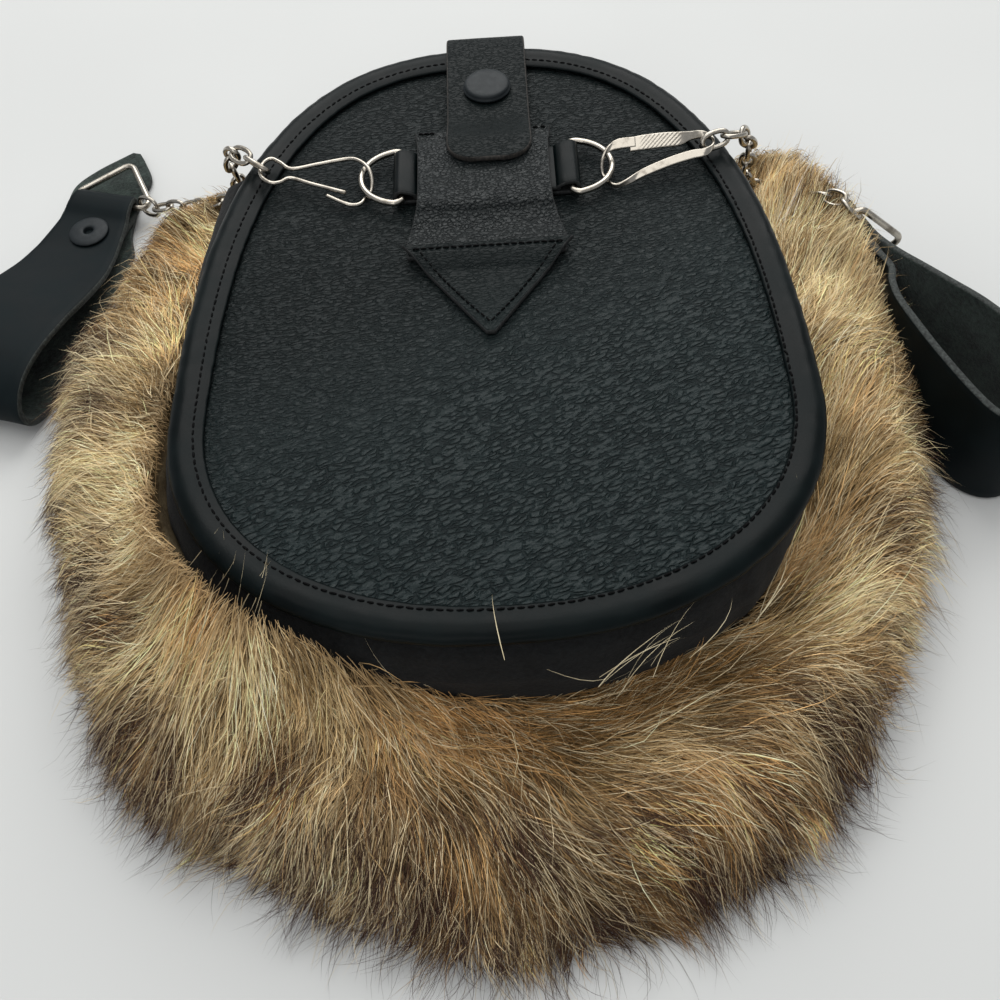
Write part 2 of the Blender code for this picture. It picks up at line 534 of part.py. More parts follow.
def solid_mesh(item):
    """The item's curve as a welded mesh."""
    mesh = bpy.data.meshes.new_from_object(item.evaluated_get(bpy.context.evaluated_depsgraph_get()))
    work = bmesh.new()
    work.from_mesh(mesh)
    bmesh.ops.remove_doubles(work, verts=work.verts, dist=0.000001)
    bmesh.ops.recalc_face_normals(work, faces=work.faces)
    work.to_mesh(mesh)
    work.free()
    return mesh


def make_chain(side, path):
    """Links that alternate by a quarter turn, fused where they bear on each other."""
    name = f"chain_{side}"
    bearings = smooth_route(path, CHAIN_LINKS)
    links = []
    for k, twist in enumerate(np.linspace(*LINK_ROLLS[side], CHAIN_LINKS)):
        half_width = END_LINK_HALF_WIDTH if k == CHAIN_LINKS - 1 else LINK_HALF_WIDTH
        roll = twist + (math.pi / 2) * (k % 2)
        links.append(chain_link(f"{name}_link_{k}", bearings[k], bearings[k + 1], roll, half_width))
    bpy.context.view_layer.update()
    meshes = [solid_mesh(link) for link in links]
    for link in links:
        bpy.data.objects.remove(link, do_unlink=True)
    chain = new_object(name, meshes[0], "nickel")
    for k, mesh in enumerate(meshes[1:], 1):
        cutter = bpy.data.objects.new(f"{name}_link_{k}", mesh)
        cutters.objects.link(cutter)
        cutter.hide_render = True
        cutter.display_type = "WIRE"
        union = chain.modifiers.new(f"link_{k}", "BOOLEAN")
        union.operation = "UNION"
        union.solver = "EXACT"
        union.object = cutter


def hanger_frame(bar, along, upright):
    """Origin and axes of a hanger: along the strap, across its thickness, across its width."""
    run = Vector((*along, 0.0)).normalized()
    level = Vector((-run.y, run.x, 0.0))
    upward = Vector((0, 0, 1))
    if upright:
        return Vector((*bar, HANGER_RIGHT_MIDDLE)), run, level, upward
    return Vector((*bar, 0.0)), run, upward, level


def make_hanger(side):
    """One belt hanger: its strap folded round a triangular ring's bar, and the snap that closes it."""
    upright = side == "right"
    bar, along = (HANGER_RIGHT_BAR, HANGER_RIGHT_ALONG) if upright else (HANGER_LEFT_BAR, HANGER_LEFT_ALONG)
    origin, run, thick, wide = hanger_frame(bar, along, upright)
    rows = []
    for distance, off, width, shift in HANGER_RIGHT_ROWS if upright else HANGER_LEFT_ROWS:
        middle = origin + run * distance + thick * off + wide * shift
        rows.append((middle - wide * width / 2, middle + wide * width / 2))
    sheet(f"belt_loop_{side}", rows, HANGER_THICK, "smooth_leather")
    if upright:
        make_triangle(side, origin, thick + run * RING_TURN_RIGHT, wide)
    else:
        make_triangle(side, origin + thick * BAR_HEIGHT, -run + thick * RING_RISE_LEFT, wide)
    make_loop_snap(side, origin, run, thick)


def make_triangle(side, middle, point, wide):
    """A triangular wire ring with rounded corners, whose bar lies in the strap's fold."""
    corners = [middle - wide * TRIANGLE_BASE / 2, middle + wide * TRIANGLE_BASE / 2,
               middle + point.normalized() * TRIANGLE_DEPTH]
    points = []
    for k, corner in enumerate(corners):
        before = (corners[k - 1] - corner).normalized()
        after = (corners[(k + 1) % 3] - corner).normalized()
        half = before.angle(after) / 2
        centre = corner + (before + after).normalized() * (TRIANGLE_ROUND / math.sin(half))
        first = corner + before * (TRIANGLE_ROUND / math.tan(half)) - centre
        last = corner + after * (TRIANGLE_ROUND / math.tan(half)) - centre
        for t in np.linspace(0.0, 1.0, TRIANGLE_CORNER_POINTS):
            points.append(centre + first.slerp(last, t).normalized() * TRIANGLE_ROUND)
    wire(f"ring_{side}", points, TRIANGLE_WIRE, "nickel", closed=True)


def make_loop_snap(side, origin, run, thick):
    """The snap's eyelet, a low turned ring on the strap's smooth face."""
    outward = -thick if side == "right" else thick
    item = turned(f"loop_snap_{side}", LOOP_SNAP_PROFILE, (0, 0, 0), "dark_snap", LOOP_SNAP_STEPS)
    item.rotation_euler = outward.to_track_quat("Z", "Y").to_euler()
    off_middle = LOOP_SNAP_MIDDLE[side] + HANGER_THICK / 2 + GAP
    place = origin + run * LOOP_SNAP_ALONG + outward * off_middle
    item.location = place * MM


def new_collection(name):
    collection = bpy.data.collections.new(name)
    bpy.context.scene.collection.children.link(collection)
    return collection


clear_scene()
sporran = new_collection("sporran_pouch")
cutters = new_collection("link_cutters")
make_panels()
make_binding()
make_gusset()
make_fur()
make_tab()
make_keeper()
make_d_ring_strap()
make_d_ring("d_ring_left", BAR_LEFT, -1)
make_d_ring("d_ring_right", BAR_RIGHT, 1)
make_clips()
make_chain("left", CHAIN_LEFT_PATH)
make_chain("right", CHAIN_RIGHT_PATH)
make_hanger("left")
make_hanger("right")
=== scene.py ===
"""Looks of the sporran pouch: leather, suede, stitches, nickel fittings and a long-haired pelt.

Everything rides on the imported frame. Tables hold millimetres in the frame's own axes: +X to the right seen
from the pouch's foot, +Y to its mouth, +Z up, with the pouch lying on its fur at z = 0.
"""
import math

import bpy
import numpy as np
from mathutils import Matrix, Vector
from mathutils.bvhtree import BVHTree


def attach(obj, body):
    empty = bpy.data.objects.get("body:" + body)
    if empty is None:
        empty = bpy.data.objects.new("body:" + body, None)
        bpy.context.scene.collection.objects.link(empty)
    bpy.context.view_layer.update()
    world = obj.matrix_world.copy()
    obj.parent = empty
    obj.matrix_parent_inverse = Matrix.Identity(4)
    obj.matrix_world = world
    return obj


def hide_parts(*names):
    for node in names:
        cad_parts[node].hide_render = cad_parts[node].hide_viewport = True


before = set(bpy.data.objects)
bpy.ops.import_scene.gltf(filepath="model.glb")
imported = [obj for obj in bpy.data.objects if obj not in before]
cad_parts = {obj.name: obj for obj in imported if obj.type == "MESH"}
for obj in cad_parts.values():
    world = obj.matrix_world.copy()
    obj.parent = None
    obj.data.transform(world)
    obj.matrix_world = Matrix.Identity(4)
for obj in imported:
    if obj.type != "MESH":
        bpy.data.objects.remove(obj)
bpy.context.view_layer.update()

MM = 0.001

# ---------------------------------------------------------------- sizes, as in the frame

# An egg outline is two half superellipses: half width, reach to the mouth and to the foot, both powers
BACK_EGG = (82.5, 140.0, 66.0, 2.5, 2.2)
FRONT_EGG = (86.0, 130.0, 74.0, 3.0, 2.2)
WALL_EGG = (87.4, 172.0, 70.9, 3.0, 2.2)       # the gusset at its widest, with room for the hair
WALL_SHIFT = np.array([-3.0, 0.0])             # it bows more to the left
GAP = 0.3                                      # between pieces that touch
BACK_TOP = 55.0
BACK_THICK = 2.2
BACK_INSET = 0.8                               # the panel's cut edge inside the binding
FRONT_TOP = 15.3
FRONT_THICK = 2.5
STRAP_THICK = 1.3
TAB_THICK = 1.8
KEEPER_THICK = 1.6
PATCH_THICK = 1.8

# Height, half width, reach to the mouth and to the foot, power of the mouth's half, shift in x, y of its ends
GUSSET_ROWS = [
    (49.7, 81.0, 155.0, 64.0, 2.7, -1.0, 92.0), (45.5, 84.0, 165.0, 67.0, 2.9, -2.5, 94.0),
    (37.0, 86.0, 172.0, 69.5, 3.0, -3.0, 96.0), (26.0, 84.5, 160.0, 69.0, 3.0, -1.5, 97.0),
    (16.1, 82.0, 146.0, 67.5, 3.0, 0.0, 97.0),
]

TAB_MIDDLE = 57.7                              # height of the tab's flat stretch, under its snap
# Strips from end to end: y, height of the middle surface, half width
TAB_ROWS = [
    (81.0, 61.8, 3.5), (81.8, 61.8, 7.5), (83.8, 61.8, 10.8), (87.1, 61.8, 12.5), (91.0, 61.5, 12.7),
    (95.4, 60.1, 12.7), (101.4, 58.4, 12.7), (109.5, TAB_MIDDLE, 12.7), (125.0, TAB_MIDDLE, 12.7),
    (139.5, TAB_MIDDLE, 12.7),
    (144.5, 56.2, 12.7), (147.6, 52.4, 12.7), (149.0, 46.0, 12.7), (149.0, 34.0, 12.7), (147.6, 23.0, 12.7),
    (144.5, 15.0, 12.7), (139.0, 11.6, 12.7), (130.0, 11.1, 12.7), (116.0, 11.1, 12.7),
]
TAB_SHIFT = 2.0                                # of the tab in x
SNAP_Y = 117.0
KEEPER_ROWS = [
    (100.8, 56.1, 20.8), (96.0, 56.2, 20.3), (90.8, 59.5, 19.7), (80.2, 59.6, 19.5), (68.0, 59.5, 19.6),
    (64.5, 57.6, 20.4), (59.5, 56.1, 21.6), (54.5, 56.1, 22.8), (48.5, 56.1, 22.4),
]
PATCH_ROWS = [
    (51.8, 58.1, 24.3), (48.4, 58.1, 21.6), (44.8, 57.3, 19.1), (41.4, 56.3, 16.6), (31.0, 56.2, 9.0),
    (20.2, 56.2, 1.2),
]
PATCH_SHIFT = 0.3

STRAP_EDGES = (71.5, 89.5)                     # y of the D-ring strap's two edges
BAR_X = {"left": -24.3, "right": 25.7}          # of the D-rings' straight bars
RING_HEIGHT = 57.85
D_HALF_BAR = 11.0
D_DEPTH = 12.1
D_WIRE = 0.95

# x, y, z from end to end, and for the band its width
CLIP_LEFT_PATH = [
    (-46.2, 74.7, 57.6), (-42.5, 72.6, 57.1), (-39.4, 71.5, 56.5), (-36.8, 72.0, 56.2), (-35.0, 74.4, 56.2),
    (-33.6, 76.8, 56.4), (-33.1, 79.4, 58.0), (-33.7, 82.0, 59.7), (-35.6, 84.6, 60.3), (-38.6, 86.8, 60.2),
    (-42.5, 87.3, 59.7), (-49.3, 86.4, 59.4), (-57.1, 85.1, 59.4), (-60.7, 88.0, 59.5), (-63.6, 89.9, 59.6),
    (-65.8, 88.3, 59.6), (-66.6, 85.0, 59.6), (-65.6, 81.8, 59.6), (-62.8, 79.4, 59.6), (-60.2, 79.8, 59.3),
    (-57.3, 81.6, 59.0), (-50.9, 78.7, 58.9), (-41.0, 74.4, 58.8),
]
CLIP_LEFT_WIRE = 0.6
CLIP_RIGHT_PATH = [
    (43.2, 84.2, 61.0, 4.2), (46.5, 84.6, 61.2, 4.6), (53.0, 85.2, 61.2, 4.6), (58.0, 85.6, 61.0, 4.2),
    (61.4, 87.0, 60.6, 2.8), (65.0, 87.9, 60.1, 2.4), (67.5, 86.0, 60.3, 1.5), (67.5, 82.8, 60.3, 1.5),
    (65.0, 80.4, 60.0, 2.4), (61.0, 79.8, 59.8, 2.8), (54.5, 78.2, 59.2, 2.8), (46.6, 75.6, 58.0, 2.6),
    (41.0, 73.2, 56.8, 1.8), (38.2, 73.1, 56.1, 1.5), (36.2, 75.0, 56.0, 1.5), (34.9, 77.6, 56.6, 1.5),
    (34.9, 80.2, 59.2, 1.6), (36.6, 82.8, 60.9, 2.0), (39.8, 84.4, 61.4, 3.2), (45.0, 84.8, 61.5, 3.2),
]
CLIP_RIGHT_THICK = 0.8
CLIP_LEAN = 1.15                               # radians that the band's wide parts lean back
# x, y, z from the clip to the hanger's ring; the places where links bear on each other lie on these
CHAIN_PATHS = {
    "left": [
        (-64.9, 84.9, 59.6), (-71.6, 90.2, 60.5), (-76.4, 95.2, 58.8), (-79.0, 98.6, 52.5),
        (-80.0, 101.5, 45.5), (-81.5, 106.0, 36.0), (-88.0, 112.5, 25.0), (-99.0, 119.0, 17.5),
        (-110.0, 124.5, 12.5), (-121.7, 129.5, 7.9), (-128.5, 133.1, 6.2),
    ],
    "right": [
        (65.3, 84.1, 59.9), (72.0, 85.6, 61.0), (77.2, 88.6, 58.9), (80.6, 93.0, 52.6), (82.6, 96.4, 45.4),
        (84.5, 101.0, 34.5), (88.5, 104.5, 25.0), (95.5, 103.5, 21.0), (101.5, 97.5, 24.5),
        (105.9, 90.0, 31.0), (110.6, 84.2, 35.4), (116.0, 79.3, 31.9),
    ],
}
CHAIN_LINKS = 15
LINK_WIRE = 0.75
LINK_HALF_WIDTH = 2.2                          # to the wire's middle
END_LINK_HALF_WIDTH = 3.7                      # of the rounder link on the hanger's ring
LINK_ROLLS = {"left": (1.1, 1.73), "right": (1.05, 2.48)}      # radians, first and last link
LINK_POINTS = 28
LINK_POWER = 2.4                               # of the link's superellipse
LINK_BITE = 0.1                                # how far links that bear on each other meet

# From the wrapped end round the bar, out, round and back to the tip: along, off the bar, width, shift across
HANGER_ROWS = {
    "left": [
        (23.0, 4.1, 22.0, 0.0), (12.0, 4.1, 22.6, -1.0), (0.0, 4.1, 23.4, -1.5), (-1.84, 4.86, 22.8, -1.2),
        (-2.6, 6.7, 22.2, -1.1), (-1.84, 8.54, 22.8, -1.2), (0.0, 9.3, 23.8, -1.6), (5.0, 8.7, 25.0, -1.7),
        (10.0, 7.1, 26.0, -1.5), (23.0, 6.9, 30.0, -1.0), (30.0, 7.9, 32.0, -0.5), (38.0, 9.8, 34.0, 0.0),
        (50.0, 13.6, 36.5, 0.0), (62.0, 17.2, 37.0, 0.0), (76.0, 20.0, 37.0, 0.0), (86.0, 20.2, 37.0, 0.0),
        (93.0, 18.0, 37.0, 0.0), (97.4, 13.4, 37.0, 0.0), (97.8, 8.6, 37.0, 0.0), (94.4, 4.0, 37.0, 0.0),
        (88.0, 1.8, 37.0, 0.0), (78.0, 1.5, 37.0, 0.0), (64.0, 1.5, 37.0, 0.0), (50.0, 1.5, 36.6, 0.0),
        (38.0, 1.5, 36.8, 0.0), (28.0, 1.5, 37.0, 0.0), (18.0, 1.5, 35.0, -1.5), (10.0, 1.5, 31.0, -4.0),
        (0.0, 1.5, 29.0, -6.0), (-10.0, 1.5, 28.0, -7.5), (-19.5, 1.5, 23.0, -5.5), (-28.0, 1.5, 10.0, -5.5),
        (-32.0, 1.5, 3.0, -5.8),
    ],
    "right": [
        (23.0, 2.6, 18.0, 0.0), (12.0, 2.6, 19.0, 0.0), (0.0, 2.6, 20.0, 0.0), (-1.84, 1.84, 20.0, 0.0),
        (-2.6, 0.0, 20.0, 0.0), (-1.84, -1.84, 20.0, 0.0), (0.0, -2.6, 20.5, 0.0), (5.0, -1.8, 21.5, 0.0),
        (10.0, -0.4, 23.0, 0.0), (23.0, -0.4, 27.0, 0.0), (30.0, -4.6, 30.5, 0.0), (38.0, -7.8, 34.0, 0.0),
        (50.0, -9.2, 36.5, 0.0), (62.0, -9.4, 37.0, 0.0), (76.0, -8.6, 37.0, 0.0), (84.0, -7.0, 37.0, 0.0),
        (89.8, -3.0, 37.0, 0.0), (92.0, 2.5, 37.0, 0.0), (90.5, 8.5, 37.0, 0.0), (85.0, 13.0, 37.0, 0.0),
        (76.0, 15.6, 37.0, 0.0), (64.0, 15.8, 37.0, 0.0), (50.0, 13.0, 36.5, 0.0), (38.0, 9.4, 34.0, 0.0),
        (28.0, 7.2, 30.0, 0.0), (18.0, 5.8, 24.5, 0.0), (8.0, 5.3, 19.5, 0.0), (0.0, 5.3, 18.6, 0.0),
        (-8.0, 4.8, 19.6, 0.0), (-16.0, 3.2, 19.6, 0.0), (-21.0, 1.6, 17.0, 0.0), (-25.0, 0.0, 9.0, 0.0),
        (-27.0, -0.8, 3.0, 0.0),
    ],
}
HANGER_THICK = 2.3
HANGER_BAR = {"left": (-140.5, 134.5), "right": (114.3, 80.4)}
HANGER_ALONG = {"left": (-0.28, -0.96), "right": (0.326, -0.945)}
HANGER_RIGHT_MIDDLE = 18.9                     # height of the right strap's middle line, as it stands on edge
BAR_HEIGHT = 6.7                               # of the left ring's bar
TRIANGLE_BASE = 35.0
TRIANGLE_DEPTH = 20.0
TRIANGLE_WIRE = 1.1
RING_ROUND = 2.8                               # radius of the rings' corners
RING_TURN_RIGHT = 0.3                          # slope of each ring against its strap
RING_RISE_LEFT = 0.08
LOOP_SNAP_ALONG = 16.5                         # from the ring's bar
LOOP_SNAP_MIDDLE = {"left": 7.1, "right": 0.4}  # off the bar, of the strap's middle surface there

FUR_MIDDLE = np.array([0.0, 10.0])

# ---------------------------------------------------------------- shapes


def smooth_route(points, spans):
    """Catmull-Rom points through the given ones, evenly spaced along the route."""
    points = [tuple(point) for point in points]
    knots = np.array([points[0]] + points + [points[-1]], dtype=float)
    dense = []
    for i in range(1, len(knots) - 2):
        a, b, c, d = knots[i - 1:i + 3]
        for t in np.linspace(0.0, 1.0, 16, endpoint=False):
            dense.append(0.5 * (2 * b + (c - a) * t + (2 * a - 5 * b + 4 * c - d) * t ** 2
                                + (3 * b - a - 3 * c + d) * t ** 3))
    dense.append(knots[-1])
    return even_points(np.array(dense), spans)


def even_points(dense, spans):
    """Resample a polyline to evenly spaced points."""
    steps = np.linalg.norm(np.diff(dense[:, :3], axis=0), axis=1)
    reach = np.concatenate([[0.0], np.cumsum(steps)])
    wanted = np.linspace(0.0, reach[-1], spans + 1)
    return np.stack([np.interp(wanted, reach, dense[:, k]) for k in range(dense.shape[1])], axis=1)


def egg_point(egg, turn):
    """The point of an egg outline at an angle in radians."""
    half_width, mouth, foot, mouth_power, foot_power = egg
    reach, power = (mouth, mouth_power) if math.sin(turn) >= 0 else (foot, foot_power)
    x = half_width * math.copysign(abs(math.cos(turn)) ** (2 / power), math.cos(turn))
    y = reach * math.copysign(abs(math.sin(turn)) ** (2 / power), math.sin(turn))
    return x, y


def egg_outline(egg, spans):
    """Evenly spaced points round an egg, counter-clockwise."""
    dense = np.array([egg_point(egg, turn) for turn in np.linspace(0, 2 * math.pi, 1441)])
    return even_points(dense, spans)[:-1]


def outward_of(ring):
    """Unit vectors that point out of a closed counter-clockwise outline."""
    along = np.roll(ring, -1, axis=0) - np.roll(ring, 1, axis=0)
    outward = np.stack([along[:, 1], -along[:, 0]], axis=1)
    return outward / np.linalg.norm(outward, axis=1)[:, None]


def egg_arc(egg, end_y, shift, spans):
    """The egg's foot side as an open arc, from its left end at end_y round to its right end."""
    end = math.asin((end_y / egg[1]) ** (egg[3] / 2))
    dense = np.array([egg_point(egg, turn) for turn in np.linspace(math.pi - end, 2 * math.pi + end, 1441)])
    return even_points(dense, spans) + np.array([shift, 0.0])


def unit(vectors):
    """The same vectors, one long."""
    return vectors / np.maximum(np.linalg.norm(vectors, axis=-1, keepdims=True), 1e-9)


def grid_faces(rows, columns, closed_rows=False, closed_columns=False, start=0):
    """Quads of a grid of points that is stored row by row."""
    r = np.arange(rows if closed_rows else rows - 1)
    c = np.arange(columns if closed_columns else columns - 1)
    r, c = [a.ravel() for a in np.meshgrid(r, c, indexing="ij")]
    after, beside = (r + 1) % rows, (c + 1) % columns
    corners = [r * columns + c, r * columns + beside, after * columns + beside, after * columns + c]
    return np.stack(corners, axis=1) + start


def fan(start, count, hub, flip=False):
    """Triangles from a ring of points to the point in its middle."""
    i = np.arange(count)
    j = (i + 1) % count
    ring = (start + j, start + i) if flip else (start + i, start + j)
    return np.stack([*ring, np.full(count, hub)], axis=1)


def between(values, i, j, next_i, next_j, fu, fv):
    """Between the four values round a place in a grid, fu and fv of the way across."""
    low = values[i, j] * (1 - fu) + values[next_i, j] * fu
    high = values[i, next_j] * (1 - fu) + values[next_i, next_j] * fu
    return low * (1 - fv) + high * fv


def noise_field(seed, size, cells=64):
    """A smooth random function of the plane, from -1 to 1, whose features are about size millimetres."""
    values = np.random.default_rng(seed).uniform(-1.0, 1.0, (cells, cells))

    def field(x, y):
        u, v = np.asarray(x) / size + cells * 8, np.asarray(y) / size + cells * 8
        i, j = np.floor(u).astype(int), np.floor(v).astype(int)
        fu, fv = u - i, v - j
        fu, fv = fu * fu * (3 - 2 * fu), fv * fv * (3 - 2 * fv)
        return between(values, i % cells, j % cells, (i + 1) % cells, (j + 1) % cells, fu, fv)

    return field


def piece(name, vertices, faces, materials, node=None, kinds=None):
    """A piece on the frame's only body, from vertices in millimetres and lists of faces of one size each."""
    groups = [np.asarray(group, dtype=np.int32) for group in faces if len(group)]
    loops = np.concatenate([group.ravel() for group in groups])
    sizes = np.concatenate([np.full(len(group), group.shape[1], dtype=np.int32) for group in groups])
    mesh = bpy.data.meshes.new(name)
    mesh.vertices.add(len(vertices))
    mesh.vertices.foreach_set("co", (np.asarray(vertices) * MM).astype(np.float32).ravel())
    mesh.loops.add(len(loops))
    mesh.loops.foreach_set("vertex_index", loops)
    mesh.polygons.add(len(sizes))
    mesh.polygons.foreach_set("loop_start", np.concatenate([[0], np.cumsum(sizes)[:-1]]).astype(np.int32))
    for material in materials:
        mesh.materials.append(material)
    if kinds is not None:
        mesh.polygons.foreach_set("material_index", np.asarray(kinds, dtype=np.int32))
    mesh.update(calc_edges=True)
    mesh.shade_smooth()
    item = bpy.data.objects.new(name, mesh)
    bpy.context.scene.collection.objects.link(item)
    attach(item, "root")
    if node:
        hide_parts(node)
    return item


def tube(points, radius, sides=12, closed=False):
    """Vertices and quads of a round wire; radius is one number or one for each point."""
    points = np.asarray(points, dtype=float)
    count = len(points)
    radius = np.broadcast_to(np.asarray(radius, dtype=float), (count,))
    if closed:
        tangent = unit(np.roll(points, -1, axis=0) - np.roll(points, 1, axis=0))
    else:
        tangent = unit(np.gradient(points, axis=0))
    normal = np.cross(tangent[0], [0.0, 0.0, 1.0])
    if np.linalg.norm(normal) < 0.1:
        normal = np.cross(tangent[0], [0.0, 1.0, 0.0])
    normals = []
    for k in range(count):
        normal = normal - tangent[k] * np.dot(normal, tangent[k])
        normal = normal / np.linalg.norm(normal)
        normals.append(normal)
    normals = np.array(normals)
    if closed:
        last = normals[-1] - tangent[0] * np.dot(normals[-1], tangent[0])
        twist = math.atan2(np.dot(np.cross(normals[0], last), tangent[0]), np.dot(normals[0], last))
        back = -twist * np.arange(count) / count
        other = np.cross(tangent, normals)
        normals = normals * np.cos(back)[:, None] + other * np.sin(back)[:, None]
    other = np.cross(tangent, normals)
    turn = np.arange(sides) * 2 * math.pi / sides
    ring = normals[:, None] * np.cos(turn)[None, :, None] + other[:, None] * np.sin(turn)[None, :, None]
    vertices = (points[:, None] + ring * radius[:, None, None]).reshape(-1, 3)
    return vertices, grid_faces(count, sides, closed_rows=closed, closed_columns=True)


def rounded_wire(points, radius, sides=12):
    """An open wire whose ends are rounded."""
    points = np.asarray(points, dtype=float)
    ends = [(0.05, 0.3), (0.3, 0.75), (0.65, 0.95)]
    first, last = unit(points[0] - points[1]), unit(points[-1] - points[-2])
    head = [points[0] + first * radius * (1 - out) for out, _ in ends]
    tail = [points[-1] + last * radius * (1 - out) for out, _ in reversed(ends)]
    route = np.concatenate([head, points, tail])
    wide = [radius * share for _, share in ends]
    radii = np.concatenate([wide, np.full(len(points), radius), wide[::-1]])
    return tube(route, radii, sides)


def joined(parts):
    """Several vertex and quad lists as one."""
    vertices, faces, start = [], [], 0
    for part_vertices, part_faces in parts:
        vertices.append(part_vertices)
        faces.append(part_faces + start)
        start += len(part_vertices)
    return np.concatenate(vertices), np.concatenate(faces)


def lathe(profile, steps):
    """Vertices and quads of a profile of radius and height turned round +Z."""
    turn = np.arange(steps) * 2 * math.pi / steps
    rows = [np.stack([r * np.cos(turn), r * np.sin(turn), np.full(steps, z)], axis=1) for r, z in profile]
    return np.concatenate(rows), grid_faces(len(profile), steps, closed_columns=True)


def placed(vertices, origin, normal):
    """Vertices turned so that their +Z is the normal, and moved to the origin."""
    turn = Vector(normal).to_track_quat("Z", "Y").to_matrix()
    return np.asarray(vertices) @ np.array(turn).T + np.asarray(origin)


EDGE_STEPS = [0.0, 0.1, 0.3, 0.6, 1.0]         # shares of the edge's radius, from the cut edge inward


def slab(rows, thickness, edge=0.7, along=60, across=10, relief=None):
    """A leather strip with softened edges.

    rows are pairs of left and right points on its middle surface. relief gives how far the outer face stands
    out. Returns vertices, quads and for each quad its kind: 0 the outer face, 1 the inner face, 2 the edges.
    """
    rows = np.array(rows, dtype=float)
    flat = smooth_route([np.concatenate([left, right]) for left, right in rows], along)
    left, right = flat[:, :3], flat[:, 3:]
    middle = (left + right) / 2
    run = np.concatenate([[0.0], np.cumsum(np.linalg.norm(np.diff(middle, axis=0), axis=1))])
    total = run[-1]
    near = np.array(EDGE_STEPS) * edge
    inside = run[(run > edge * 1.3) & (run < total - edge * 1.3)]
    stations = np.concatenate([near, inside, total - near[::-1]])
    left, right = [np.stack([np.interp(stations, run, points[:, k]) for k in range(3)], axis=1)
                   for points in (left, right)]
    width = np.linalg.norm(right - left, axis=1)
    share = np.linspace(0.0, 1.0, across + 1)[1:-1]
    span = width[:, None]
    inner = near[-1] + (span - 2 * near[-1]) * share[None, :]
    shrink = np.minimum(1.0, width / (2.6 * edge))[:, None]
    offsets = np.concatenate([near[None] * shrink, inner, span - near[None, ::-1] * shrink], axis=1)
    offsets = np.sort(np.clip(offsets, 0.0, span), axis=1)
    u = offsets / np.maximum(span, 1e-6)
    centre = left[:, None] + (right - left)[:, None] * u[:, :, None]
    aside = np.broadcast_to((right - left)[:, None], centre.shape)
    normal = unit(np.cross(aside, np.gradient(centre, axis=0)))
    from_side = np.minimum(offsets, span - offsets)
    from_end = np.minimum(stations, stations[-1] - stations)[:, None]
    depth = np.clip(np.minimum(from_side, from_end) / edge, 0.0, 1.0)
    half = thickness / 2 * np.sqrt(1.0 - (1.0 - depth) ** 2)
    outer = half
    if relief is not None:
        outer = half + relief(centre, stations[:, None] * np.ones_like(u), offsets, span) * depth
    top = centre + normal * outer[:, :, None]
    bottom = centre - normal * half[:, :, None]
    count, columns = centre.shape[:2]
    faces = grid_faces(count, columns)
    low = depth.reshape(-1)[faces].min(axis=1) < 0.55
    kinds = np.concatenate([np.where(low, 2, 0), np.where(low, 2, 1)])
    vertices = np.concatenate([top.reshape(-1, 3), bottom.reshape(-1, 3)])
    return vertices, np.concatenate([faces[:, ::-1], faces + count * columns]), kinds


def weld(item, distance=0.02):
    """Merge the points that lie on each other, such as a slab's two faces at its edge."""
    bpy.context.view_layer.objects.active = item
    modifier = item.modifiers.new("weld", "WELD")
    modifier.merge_threshold = distance * MM
    settled = bpy.data.meshes.new_from_object(item.evaluated_get(bpy.context.evaluated_depsgraph_get()))
    item.modifiers.clear()
    item.data = settled
    return item


# ---------------------------------------------------------------- materials


